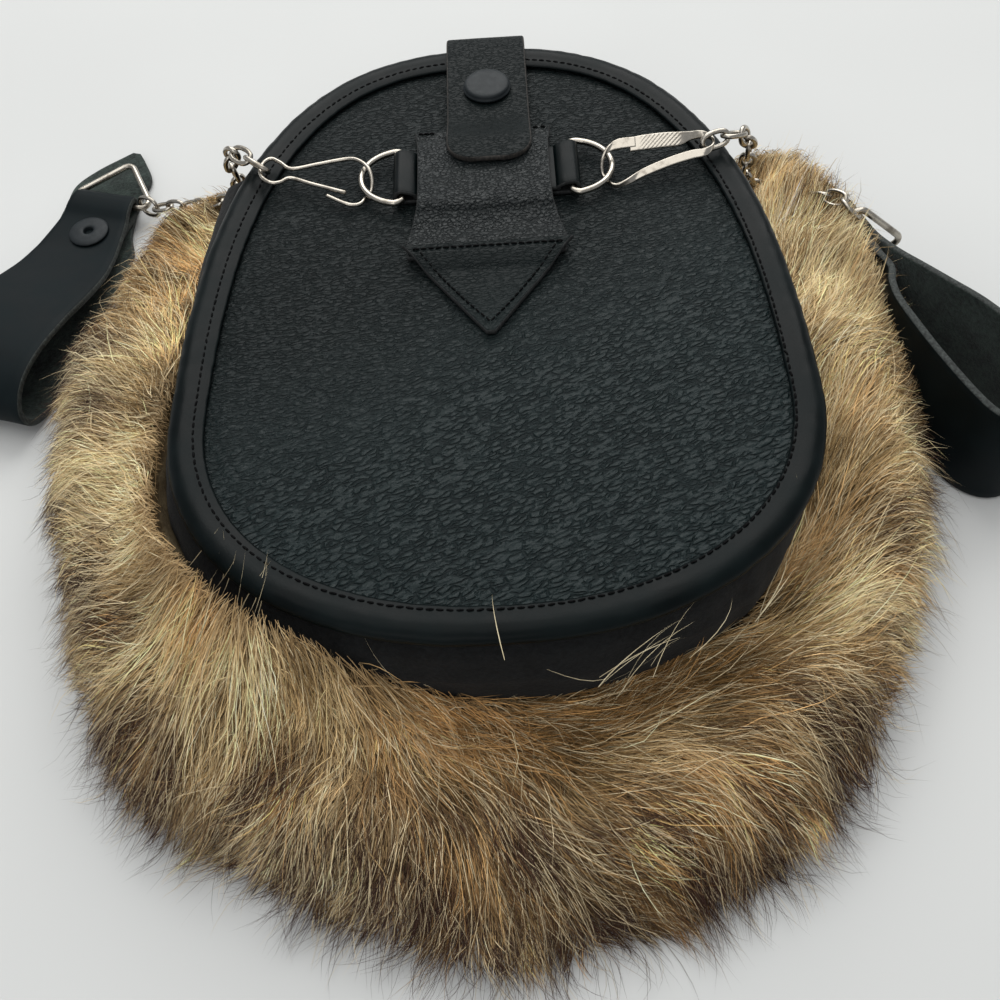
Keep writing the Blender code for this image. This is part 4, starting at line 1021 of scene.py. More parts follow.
def make_ring_strap():
    """The strip under the keeper that loops round the bar of each D-ring."""
    low = BACK_TOP + GAP + STRAP_THICK / 2
    radius = RING_HEIGHT - low
    under_keeper = low + STRAP_THICK + GAP
    middle = (BAR_X["left"] + BAR_X["right"]) / 2
    half = [(BAR_X["right"] - middle + radius * math.cos(turn), RING_HEIGHT + radius * math.sin(turn))
            for turn in np.linspace(-math.pi / 2, math.pi / 2, 9)]
    right = [(0.5, low), *half, (22.4, RING_HEIGHT + radius - 0.7), (20.3, under_keeper + 0.2),
             (18.5, under_keeper)]
    path = [(middle + x, z) for x, z in right] + [(middle - x, z) for x, z in reversed(right)]
    rows = [[(x, y, z) for y in STRAP_EDGES] for x, z in path]
    slab_piece("ring_strap_leather", rows, STRAP_THICK, [SMOOTH, BLACK_SUEDE, DARK_EDGE], "smooth_leather",
               "d_ring_strap", edge=0.5, along=140, across=8)


# ---------------------------------------------------------------- metal


def make_d_rings():
    """Each a straight bar and half an ellipse."""
    middle_y = sum(STRAP_EDGES) / 2
    for side, sign in (("left", -1), ("right", 1)):
        bar = BAR_X[side]
        points = [(bar, middle_y - D_HALF_BAR * t, RING_HEIGHT) for t in (0.9, 0.5, 0.0, -0.5, -0.9)]
        for turn in np.linspace(math.pi / 2 - 0.16, -math.pi / 2 + 0.16, 25):
            x, y = sign * D_DEPTH * math.cos(turn), D_HALF_BAR * math.sin(turn)
            points.append((bar + x, middle_y + y, RING_HEIGHT))
        route = smooth_route(points + points[:1], 72)[:-1]
        vertices, faces = tube(route, D_WIRE, 14, closed=True)
        piece(f"d_ring_wire_{side}", vertices, [faces], [NICKEL], f"d_ring_{side}")


KNURL_PITCH = 1.3
KNURL_DEPTH = 0.16
KNURL_REACH = 22.0                             # along the band
KNURL_X = (46.5, 58.0)


def make_clips():
    """The left clip is bent wire, the right one a spring band with a knurled plate."""
    vertices, faces = rounded_wire(smooth_route(CLIP_LEFT_PATH, 130), CLIP_LEFT_WIRE, 10)
    piece("clip_wire_left", vertices, [faces], [NICKEL], "clip_left")
    band = smooth_route(CLIP_RIGHT_PATH, 70)
    rows = []
    for x, y, z, width in band:
        lean = CLIP_LEAN * min(1.0, max(0.0, (width - 1.5) / 1.0))
        off_y, off_z = math.sin(lean) * width / 2, math.cos(lean) * width / 2
        rows.append(((x, y + off_y, z + off_z), (x, y - off_y, z - off_z)))

    def knurl(centre, along, offsets, span):
        x = centre[..., 0]
        plate = (along < KNURL_REACH) & (x > KNURL_X[0]) & (x < KNURL_X[1])
        cross = np.cos(along * 2 * math.pi / KNURL_PITCH) * np.cos(offsets * 2 * math.pi / KNURL_PITCH)
        return np.where(plate, KNURL_DEPTH * cross, 0.0)

    slab_piece("clip_band_right", rows, CLIP_RIGHT_THICK, [NICKEL] * 3, "nickel", "clip_right",
               edge=0.3, along=300, across=12, relief=knurl)


def chain_link(start, end, roll, half_width):
    """A closed link between two places where it bears on its neighbours."""
    start, end = Vector(start), Vector(end)
    along = (end - start).normalized()
    side = along.cross(Vector((0, 0, 1))).normalized()
    side = side * math.cos(roll) + along.cross(side) * math.sin(roll)
    middle = (start + end) / 2
    half_length = (end - start).length / 2 + LINK_WIRE - LINK_BITE
    egg = (half_length, half_width, half_width, LINK_POWER, LINK_POWER)
    points = []
    for k in range(LINK_POINTS):
        u, v = egg_point(egg, 2 * math.pi * k / LINK_POINTS)
        points.append(middle + along * u + side * v)
    return tube(points, LINK_WIRE, 10, closed=True)


def make_chains():
    for side, path in CHAIN_PATHS.items():
        bearings = smooth_route(path, CHAIN_LINKS)
        links = []
        for k, twist in enumerate(np.linspace(*LINK_ROLLS[side], CHAIN_LINKS)):
            half_width = END_LINK_HALF_WIDTH if k == CHAIN_LINKS - 1 else LINK_HALF_WIDTH
            roll = twist + (math.pi / 2) * (k % 2)
            links.append(chain_link(bearings[k], bearings[k + 1], roll, half_width))
        vertices, faces = joined(links)
        piece(f"chain_links_{side}", vertices, [faces], [NICKEL], f"chain_{side}")


# ---------------------------------------------------------------- belt hangers


def hanger_frame(side):
    """The middle of the ring's bar, and unit vectors along the strap, through it and across it."""
    run = Vector((*HANGER_ALONG[side], 0.0)).normalized()
    level = Vector((-run.y, run.x, 0.0))
    bar = HANGER_BAR[side]
    upward = Vector((0, 0, 1))
    if side == "right":
        return Vector((*bar, HANGER_RIGHT_MIDDLE)), run, level, upward
    return Vector((*bar, 0.0)), run, upward, level


def make_hanger(side):
    """A strap wrapped round its ring's bar, turned back on itself and closed by a snap."""
    origin, run, thick, wide = hanger_frame(side)
    rows = []
    for distance, off, width, shift in HANGER_ROWS[side]:
        middle = origin + run * distance + thick * off + wide * shift
        rows.append((middle + wide * width / 2, middle - wide * width / 2))
    sway = noise_field(61, 14.0)

    def relief(centre, along, offsets, span):
        edge = np.minimum(offsets, span - offsets)
        return 0.12 * sway(along, offsets) + 0.10 * np.exp(-((edge - 1.0) / 0.5) ** 2)

    slab_piece(f"hanger_leather_{side}", rows, HANGER_THICK, [STRAP_SMOOTH, GREEN_SUEDE, GREY_EDGE_AND_HIGHLIGHT],
               "smooth_leather", f"belt_loop_{side}", edge=0.7, along=170, across=14, relief=relief)
    if side == "right":
        outward = -thick
        make_triangle(side, origin, thick + run * RING_TURN_RIGHT, wide)
    else:
        outward = thick
        make_triangle(side, origin + thick * BAR_HEIGHT, -run + thick * RING_RISE_LEFT, wide)
    vertices, faces = lathe(EYELET_PROFILE[::-1], 48)
    place = origin + run * LOOP_SNAP_ALONG + outward * (LOOP_SNAP_MIDDLE[side] + HANGER_THICK / 2 + GAP)
    piece(f"snap_eyelet_{side}", placed(vertices, place, outward), [faces[:, ::-1]], [SNAP],
          f"loop_snap_{side}")


def make_triangle(side, middle, point, wide):
    """The hanger's ring: three straight sides and three bends."""
    corners = [middle - wide * TRIANGLE_BASE / 2, middle + wide * TRIANGLE_BASE / 2,
               middle + point.normalized() * TRIANGLE_DEPTH]
    points = []
    for k, corner in enumerate(corners):
        before = (corners[k - 1] - corner).normalized()
        after = (corners[(k + 1) % 3] - corner).normalized()
        half = before.angle(after) / 2
        centre = corner + (before + after).normalized() * (RING_ROUND / math.sin(half))
        first = corner + before * (RING_ROUND / math.tan(half)) - centre
        last = corner + after * (RING_ROUND / math.tan(half)) - centre
        for t in np.linspace(0.0, 1.0, 11):
            points.append(centre + first.slerp(last, t).normalized() * RING_ROUND)
    vertices, faces = tube([tuple(p) for p in points], TRIANGLE_WIRE, 14, closed=True)
    piece(f"ring_wire_{side}", vertices, [faces], [NICKEL], f"ring_{side}")


make_panel()
make_binding()
make_seam()
make_gusset()
make_front()
make_tab()
make_keeper()
make_small_stitches()
make_ring_strap()
make_d_rings()
make_clips()
make_chains()
make_hanger("left")
make_hanger("right")

# ---------------------------------------------------------------- the pelt

# Which way the hair lies in the plane, each 15 degrees round the pelt: degrees at the pouch, half way out
# and at the rim. 0 is +X and 90 is +Y.
FLOW_ROWS = [
    (0, 54, 34, 8), (15, 57, 40, 18), (30, 60, 45, 30), (45, 66, 54, 44),
    (60, 72, 64, 58), (75, 80, 77, 75), (90, 90, 90, 90), (105, 104, 105, 105),
    (120, 116, 120, 126), (135, 124, 134, 148), (150, 120, 136, 158), (165, 118, 137, 165),
    (180, 120, 142, 176), (195, 132, 156, 190), (210, 160, 184, 206), (225, 222, 214, 218),
    (240, 290, 250, 234), (255, 318, 285, 254), (270, 338, 306, 268), (285, 350, 326, 284),
    (300, 2, 342, 300), (315, 14, 358, 316), (330, 32, 12, 330), (345, 48, 26, 350),
]
# Colours round the pelt: degrees, how light, how brown, how dark the tips are, how shaded it is by the pouch
TONE_ROWS = [
    (0, 0.70, 0.34, 0.50, 0.4), (15, 0.84, 0.16, 0.25, 0.2), (30, 0.84, 0.16, 0.20, 0.1),
    (42, 0.82, 0.25, 0.50, 0.0), (52, 0.70, 0.38, 1.20, 0.0), (64, 0.70, 0.34, 0.80, 0.0),
    (90, 0.60, 0.30, 0.30, 0.0), (120, 0.46, 0.42, 0.30, 0.3),
    (135, 0.28, 0.48, 0.40, 0.7), (150, 0.14, 0.54, 0.55, 1.0), (161, 0.56, 0.26, 0.70, 1.0),
    (175, 0.92, 0.06, 0.75, 0.9), (190, 0.96, 0.04, 0.80, 0.7), (205, 0.76, 0.16, 0.85, 0.3),
    (225, 0.62, 0.28, 0.85, 0.0), (236, 0.86, 0.18, 0.70, 0.1), (247, 0.66, 0.38, 0.90, 0.2),
    (258, 0.24, 0.70, 1.05, 0.3), (270, 0.04, 0.92, 0.95, 0.4), (285, 0.10, 0.90, 0.90, 0.4),
    (300, 0.50, 0.54, 0.80, 0.3), (315, 0.66, 0.40, 0.75, 0.3), (330, 0.78, 0.30, 0.60, 0.6),
    (345, 0.68, 0.38, 0.70, 0.8), (360, 0.70, 0.34, 0.50, 0.4),
]
CREAM = np.array([0.93, 0.74, 0.42])
TAN = np.array([0.70, 0.46, 0.195])
RUST = np.array([0.39, 0.185, 0.050])
WOOL_TAN = np.array([0.50, 0.34, 0.17])
WHITE_HAIR = np.array([0.98, 0.85, 0.57])
DARK_HAIR = np.array([0.046, 0.020, 0.014])

# How far the loose hair stands over the frame's fur: degrees round the pelt, beside the pouch, at the rim
# and how far out the hair reaches as a share of the frame's fur
RAISE_ROWS = [
    (0, 5, 10, 1.04), (10, 5, 24, 1.10), (20, 5, 30, 1.10), (35, 4, 34, 1.07), (48, 4, 32, 1.07),
    (60, 0, 16, 1.05), (75, 0, 0, 1.0), (105, 0, 0, 1.0), (118, 2, 12, 1.04), (128, 8, 24, 1.05),
    (138, 10, 20, 1.04), (150, 10, 4, 0.98), (165, 9, 0, 0.96), (180, 11, 0, 0.93), (195, 17, 0, 0.95),
    (205, 22, 0, 0.96), (213, 28, 0, 0.98), (220, 32, 0, 1.01), (230, 35, 0, 1.01), (240, 36, 0, 1.00),
    (250, 27, 0, 0.99), (260, 16, 0, 0.98), (270, 11, 0, 1.01), (285, 11, 0, 1.05), (296, 11, 0, 1.02),
    (305, 11, 0, 0.98), (320, 10, 0, 0.95), (332, 9, 0, 0.95), (345, 6, 3, 0.98), (360, 5, 10, 1.04),
]
WALL_CLEAR = 5.0                               # from the pouch's wall to the full height beside it
WALL_BAND = 16.0                               # where the frame's heights are evened beside the wall
BAND_LEAST = 9.0                               # from the pouch's wall to the fur's rim

HEIGHT_STEP = 1.5                              # between the points of the grid of heights
HEIGHT_SIDE = 210
HEIGHT_FROM = -157.0


def blur(grid, times):
    """Each point drawn towards its four neighbours, some times over."""
    for _ in range(times):
        padded = np.pad(grid, 1, mode="edge")
        grid = (padded[:-2, 1:-1] + padded[2:, 1:-1] + padded[1:-1, :-2] + padded[1:-1, 2:] + 4 * grid) / 8
    return grid


def pelt_heights():
    """The frame's fur from above, as a grid of heights in millimetres."""
    tree = BVHTree.FromObject(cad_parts["fur"], bpy.context.evaluated_depsgraph_get())
    grid = np.zeros((HEIGHT_SIDE, HEIGHT_SIDE))
    for i in range(HEIGHT_SIDE):
        for j in range(HEIGHT_SIDE):
            x, y = HEIGHT_FROM + i * HEIGHT_STEP, HEIGHT_FROM + j * HEIGHT_STEP
            hit = tree.ray_cast(Vector((x * MM, y * MM, 0.2)), Vector((0, 0, -1)))[0]
            if hit:
                grid[i, j] = hit.z / MM
    return grid


def grid_value(grid, x, y):
    """The grid's height at any place in the plane."""
    u = np.clip((x - HEIGHT_FROM) / HEIGHT_STEP, 0, HEIGHT_SIDE - 1.001)
    v = np.clip((y - HEIGHT_FROM) / HEIGHT_STEP, 0, HEIGHT_SIDE - 1.001)
    i, j = np.floor(u).astype(int), np.floor(v).astype(int)
    return between(grid, i, j, i + 1, j + 1, u - i, v - j)


def from_rows(rows, angle, columns):
    """Columns of a table whose rows begin with degrees round the pelt, at any angles."""
    table = np.array(rows, dtype=float)
    return [np.interp(angle, table[:, 0], table[:, c]) for c in columns]


def rim_reach():
    """How far the hair's rim lies from the pelt's middle in each of 360 directions."""
    points = np.array([v.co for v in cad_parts["fur"].data.vertices])[:, :2] / MM - FUR_MIDDLE
    angle = np.degrees(np.arctan2(points[:, 1], points[:, 0])) % 360
    radius = np.linalg.norm(points, axis=1)
    reach = np.array([radius[np.abs((angle - a + 180) % 360 - 180) < 6.0].max() for a in range(360)])
    reach = np.concatenate([reach[-6:], reach, reach[:6]])
    return np.convolve(reach, np.ones(13) / 13, mode="valid") * from_rows(RAISE_ROWS, np.arange(360), (3,))[0]


def pouch_reach():
    """How far the pouch's wall reaches from the pelt's middle in each of 360 directions."""
    wall = egg_outline(WALL_EGG, 720) + WALL_SHIFT - FUR_MIDDLE
    angle = np.degrees(np.arctan2(wall[:, 1], wall[:, 0])) % 360
    order = np.argsort(angle)
    reach = np.interp(np.arange(360), angle[order], np.linalg.norm(wall, axis=1)[order], period=360)
    return np.minimum(reach, REACH - BAND_LEAST)


def around(table, angle):
    """Values of a table of 360 directions at any angle in degrees."""
    return np.interp(angle % 360, np.arange(361), np.append(table, table[0]))


def polar(points):
    """Degrees round the pelt, and the share of the way from the pouch's wall to the rim."""
    away = points - FUR_MIDDLE
    angle = np.degrees(np.arctan2(away[..., 1], away[..., 0])) % 360
    radius = np.linalg.norm(away, axis=-1)
    inner, outer = around(POUCH, angle), around(REACH, angle)
    return angle, (radius - inner) / (outer - inner)


def raised(grid):
    """The heights, evened beside the pouch's wall, with the loose hair's stand added."""
    steps = HEIGHT_FROM + np.arange(HEIGHT_SIDE) * HEIGHT_STEP
    x, y = np.meshgrid(steps, steps, indexing="ij")
    angle, share = polar(np.stack([x, y], axis=-1))
    turn = np.radians(angle)
    clear = around(POUCH, angle) + WALL_CLEAR
    outside_x, outside_y = FUR_MIDDLE[0] + np.cos(turn) * clear, FUR_MIDDLE[1] + np.sin(turn) * clear
    radius = np.hypot(x - FUR_MIDDLE[0], y - FUR_MIDDLE[1])
    inside = (radius < clear) & (radius > clear - WALL_BAND)
    grid = np.where(inside, grid_value(grid, outside_x, outside_y), grid)
    beside, rim = from_rows(RAISE_ROWS, angle, (1, 2))
    near = np.clip(1.0 - share / 0.42, 0.0, 1.0) ** 1.3
    far = np.clip((share - 0.40) / 0.35, 0.0, 1.0) * np.clip((1.25 - share) / 0.15, 0.0, 1.0)
    return blur(grid + beside * near + rim * far, 2)


REACH = rim_reach()
POUCH = pouch_reach()
HEIGHTS = blur(raised(pelt_heights()), 2)


def direction_table():
    """The hair's directions at the pouch, half way and at the rim, for each degree round the pelt."""
    table = np.array(FLOW_ROWS + [(360, *FLOW_ROWS[0][1:])], dtype=float)
    angles = np.arange(361)
    vectors = []
    for column in (1, 2, 3):
        turn = np.radians(table[:, column])
        x, y = np.interp(angles, table[:, 0], np.cos(turn)), np.interp(angles, table[:, 0], np.sin(turn))
        vectors.append(np.stack([x, y], axis=1))
    return vectors


DIRECTIONS = direction_table()
POINTS = 6                                     # along each hair
SWAY_BROAD = noise_field(71, 30.0)
SWAY_MIDDLE = noise_field(72, 13.0, 96)
SWAY_FINE = noise_field(73, 6.0, 128)


def turned(vectors, angle):
    """Vectors in the plane turned counter-clockwise."""
    x, y, c, s = vectors[:, 0], vectors[:, 1], np.cos(angle), np.sin(angle)
    return np.stack([x * c - y * s, x * s + y * c], axis=1)


def toward(a, b, share):
    """A share of the way from a to b."""
    return a + (b - a) * share


def flow(points):
    """Unit vectors along which the hair lies."""
    angle, share = polar(points)
    i = np.floor(angle).astype(int) % 360
    f = (angle - i)[:, None]
    inner, middle, rim = [d[i] * (1 - f) + d[(i + 1) % 360] * f for d in DIRECTIONS]
    t = np.clip(share, 0.0, 1.0)[:, None]
    first = np.clip(t / 0.45, 0.0, 1.0)
    second = np.clip((t - 0.45) / 0.55, 0.0, 1.0)
    lie = unit(inner * (1 - first) + middle * first)
    lie = unit(lie * (1 - second) + rim * second)
    x, y = points[:, 0], points[:, 1]
    return turned(lie, 0.32 * SWAY_BROAD(x, y) + 0.34 * SWAY_MIDDLE(x, y) + 0.16 * SWAY_FINE(x, y))


def scatter(random, count, band, turn):
    """Roots spread evenly over the pelt between two shares of the way to its rim and two directions."""
    found = []
    total = 0
    while total < count:
        points = FUR_MIDDLE + random.uniform(-150.0, 150.0, (count, 2))
        angle, share = polar(points)
        points = points[(share > band[0]) & (share < band[1]) & (angle >= turn[0]) & (angle <= turn[1])]
        found.append(points)
        total += len(points)
    return np.concatenate(found)[:count]


def comb(random, roots, lengths, steps, stray):
    """Routes in the plane that follow the lie of the hair from each root."""
    turn = random.normal(0.0, stray, len(roots))
    curl = random.normal(0.0, stray * 1.3, len(roots))
    route = [roots]
    for k in range(steps):
        lie = turned(flow(route[-1]), turn + curl * (k / steps))
        route.append(route[-1] + lie * (lengths / steps)[:, None])
    return np.stack(route, axis=1)


def raise_hair(random, route, lengths, sink, lift):
    """Heights along each hair: rising out of the pelt and falling no faster than hair does."""
    count, points = route.shape[:2]
    s = np.linspace(0.0, 1.0, points)
    sink = random.uniform(*sink, count)
    lift = random.uniform(*lift, count)
    step = lengths / (points - 1)
    heights = []
    for k in range(points):
        surface = grid_value(HEIGHTS, route[:, k, 0], route[:, k, 1])
        z = surface * (sink + (1 - sink) * s[k] ** 0.6) + lift * s[k] ** 1.5
        if k:
            z = np.maximum(z, heights[-1] - 0.85 * step)
        heights.append(np.maximum(z, 0.5))
    return np.stack(heights, axis=1)


class Locks:
    """Hairs that lead the others: each draws those that root round it towards its own route."""

    def __init__(self, seed, count, length, stray, tone):
        random = np.random.default_rng(seed)
        roots = scatter(random, count, (-0.02, 0.98), (0, 360))
        self.lengths = random.uniform(*length, count)
        flat = comb(random, roots, self.lengths, POINTS - 1, stray)
        heights = raise_hair(random, flat, self.lengths, (0.7, 1.0), (0.0, 6.0))
        self.route = np.concatenate([flat, heights[:, :, None]], axis=2)
        self.tone = random.normal(0.0, tone, count)

    def nearest(self, roots):
        """The lock that each root belongs to, sought in parts to save memory."""
        found = np.empty(len(roots), dtype=int)
        for start in range(0, len(roots), 4000):
            chunk = roots[start:start + 4000]
            away = ((chunk[:, None] - self.route[None, :, 0, :2]) ** 2).sum(axis=2)
            found[start:start + 4000] = away.argmin(axis=1)
        return found

    def gather(self, random, route, lengths, pull, power):
        """The routes drawn together towards their tips, and the tone of each one's lock."""
        nearest = self.nearest(route[:, 0, :2])
        leader = self.route[nearest]
        scale = (lengths / self.lengths[nearest])[:, None, None]
        leader = leader[:, :1] + (leader - leader[:, :1]) * scale
        s = np.linspace(0.0, 1.0, route.shape[1])[None, :, None]
        amount = random.uniform(*pull, (len(route), 1, 1)) * s ** power
        return route + (leader - route) * amount, self.tone[nearest]


def strands(name, route, width, colours, random):
    """Tapered hairs as one mesh of flat ribbons, each turned a little to one side."""
    count, points = route.shape[:2]
    rings = points - 1
    tilt = random.normal(0.0, 0.55, (count, 1, 3)) + np.array(UP)
    side = unit(np.cross(unit(np.gradient(route, axis=1)), tilt))
    s = np.linspace(0.0, 1.0, points)
    taper = np.minimum(1.0, 0.55 + 1.8 * s) * (1.0 - s ** 2.2) ** 0.8
    half = (width / 2)[:, None] * taper[None]
    across = side[:, :-1] * half[:, :-1, None]
    body = np.stack([route[:, :-1] - across, route[:, :-1] + across], axis=2)
    vertices = np.concatenate([body.reshape(count, rings * 2, 3), route[:, -1:]], axis=1).reshape(-1, 3)
    base = (np.arange(count) * (rings * 2 + 1))[:, None, None]
    k = 2 * np.arange(rings - 1)
    quads = (np.stack([k, k + 1, k + 3, k + 2], axis=1)[None] + base).reshape(-1, 4)
    tips = (np.array([[2 * rings - 2, 2 * rings - 1, 2 * rings]])[None] + base).reshape(-1, 3)
    item = piece(name, vertices, [quads, tips], [HAIR])
    colours = np.concatenate([np.repeat(colours[:, :-1], 2, axis=1), colours[:, -1:]], axis=1)
    store_colours(item, colours.reshape(-1, 3))


def store_colours(item, colours):
    """One colour for each vertex, which the materials read."""
    attribute = item.data.attributes.new("hair_colour", "FLOAT_COLOR", "POINT")
    rgba = np.column_stack([np.clip(colours, 0.0, 1.0), np.ones(len(colours))])
    attribute.data.foreach_set("color", rgba.astype(np.float32).ravel())


PATCH_A = noise_field(81, 17.0)
PATCH_B = noise_field(82, 8.0, 96)
PATCH_C = noise_field(83, 14.0, 96)
PATCH_D = noise_field(84, 10.0, 96)


def tones(points):
    """How light, how brown and how dark-tipped the pelt is at each place, and its share of the way out."""
    angle, share = polar(points)
    light, brown, dark, shaded = from_rows(TONE_ROWS, angle, (1, 2, 3, 4))
    x, y = points[:, 0], points[:, 1]
    a, b = PATCH_A(x, y), PATCH_B(x, y)
    shaded = shaded * np.exp(-(np.clip(share, 0.0, 1.0) / 0.21) ** 2)
    light = np.clip(light - 0.66 * shaded + 0.45 * a + 0.35 * b, 0.0, 1.0)
    brown = np.clip(brown + 0.25 * shaded + 0.60 * PATCH_C(x, y) - 0.25 * a, 0.0, 1.0)
    dark = np.clip(dark + 0.8 * PATCH_D(x, y), 0.0, 1.4)
    return light, brown, dark, share


def hair_colours(random, route, coat, tone):
    """Colours along each hair, from its root to its tip."""
    count, points = route.shape[:2]
    light, brown, dark, share = tones(route[:, 2, :2])
    dark = dark + coat["darker"]
    tip_share = polar(route[:, -1, :2])[1]
    s = np.linspace(0.0, 1.0, points)[None, :, None]
    own = random.normal(0.0, 0.14, count) + tone
    body = toward(TAN, CREAM, np.clip(light + own, 0, 1.15)[:, None])
    body = toward(body, RUST, (np.clip(brown + 0.7 * own - 0.1, 0, 1) * 0.8)[:, None])
    root = WOOL_TAN * (0.55 + 0.55 * light)[:, None]
    pale = random.uniform(0, 1, count) < coat["pale"] * (0.85 + 0.35 * light)
    body[pale] = body[pale] * 0.25 + WHITE_HAIR * random.uniform(0.75, 1.0, (pale.sum(), 1)) * 0.75
    far = np.clip((tip_share - 0.4) / 0.4, 0.12, 1.0)
    black = (random.uniform(0, 1, count) < coat["black"] * dark * far) & ~pale
    body[black] = body[black] * 0.20 + DARK_HAIR * 0.80
    # Painted shade: hairs that are not pale are dimmed by their coat's shade, most in the low coat under the
    # others, and more where the pelt is less light, partly its own tone and partly painted shade among the
    # locks.
    body = body * np.where(pale, 1.05, (0.70 + 0.50 * light) * coat["shade"])[:, None]
    contrast = np.where(pale, 0.25, 0.75 + 0.65 * (1.0 - light))
    body = body * np.exp(contrast * tone)[:, None] * random.uniform(0.66, 1.18, (count, 1))
    clump = np.clip((dark - 0.76) * 3.0, 0.0, 1.0) * np.clip((tip_share - 0.35) / 0.25, 0.0, 1.0)
    tip_dark = np.clip((tip_share - 0.62) / 0.30, 0.0, 1.0) * dark * coat["tipped"]
    tip_dark = np.clip(tip_dark * random.uniform(0.3, 1.9, count) + clump * 0.8, 0.0, 1.0)
    tip_dark[pale] *= 0.2
    colours = toward(root[:, None], body[:, None], np.clip((s - 0.05) / 0.38, 0.0, 1.0))
    start = (random.uniform(0.42, 0.70, count) - 0.25 * clump)[:, None, None]
    return toward(colours, DARK_HAIR, np.clip((s - start) / 0.25, 0.0, 1.0) * tip_dark[:, None, None])


WOOL_SPANS = 300
WOOL_RINGS = 30
WOOL_REACH = 0.80
WOOL_TOP = 12.4                                # where it goes in under the front panel


def make_undercoat():
    """The wool that closes the pelt under its long hair."""
    angle = np.arange(WOOL_SPANS) * 360 / WOOL_SPANS
    inner, outer = around(POUCH, angle), around(REACH, angle)
    turn = np.radians(angle)
    ray = np.stack([np.cos(turn), np.sin(turn)], axis=1)
    bumpy = noise_field(91, 5.0, 128)
    rows = [np.column_stack([FUR_MIDDLE + ray * (inner - 3.0)[:, None], np.full(WOOL_SPANS, WOOL_TOP)])]
    for share in np.linspace(-0.02, WOOL_REACH - 0.02, WOOL_RINGS):
        slope = min(1.0, (0.90 - share) / 0.40)
        flat = FUR_MIDDLE + ray * toward(inner, outer, share)[:, None]
        z = grid_value(HEIGHTS, flat[:, 0], flat[:, 1])
        bumps = 1.3 * bumpy(flat[:, 0], flat[:, 1]) * np.clip(z / 20.0, 0.3, 1.0)
        rows.append(np.column_stack([flat, np.maximum(z * 0.82 * slope - 1.4 + bumps, 1.0)]))
    edge = FUR_MIDDLE + ray * toward(inner, outer, WOOL_REACH)[:, None]
    rows.append(np.column_stack([edge, np.full(WOOL_SPANS, 0.8)]))
    vertices = np.concatenate(rows)
    light, brown, _, share = tones(vertices[:, :2])
    body = toward(TAN, CREAM, light[:, None])
    body = toward(body, RUST, (brown * 0.7)[:, None])
    # The wool takes the pelt's tones dimmed: partly its own darker colour, partly painted shade under the
    # long hair. Beside the pouch's wall it is painted darker still, as the wall's shade.
    body = (body * 0.42 + WOOL_TAN * 0.18) * (0.74 + 0.34 * light)[:, None]
    body = body * np.clip(0.22 + 8.0 * share, 0.22, 1.0)[:, None]
    hub, last = len(vertices), (len(rows) - 1) * WOOL_SPANS
    vertices = np.concatenate([vertices, [[*FUR_MIDDLE, WOOL_TOP], [*FUR_MIDDLE, 0.5]]])
    faces = [grid_faces(len(rows), WOOL_SPANS, closed_columns=True)[:, ::-1], fan(0, WOOL_SPANS, hub),
             fan(last, WOOL_SPANS, hub + 1, flip=True)]
    item = piece("pelt_wool", vertices, faces, [WOOL], "fur")
    store_colours(item, np.concatenate([body, [WOOL_TAN, WOOL_TAN]]))


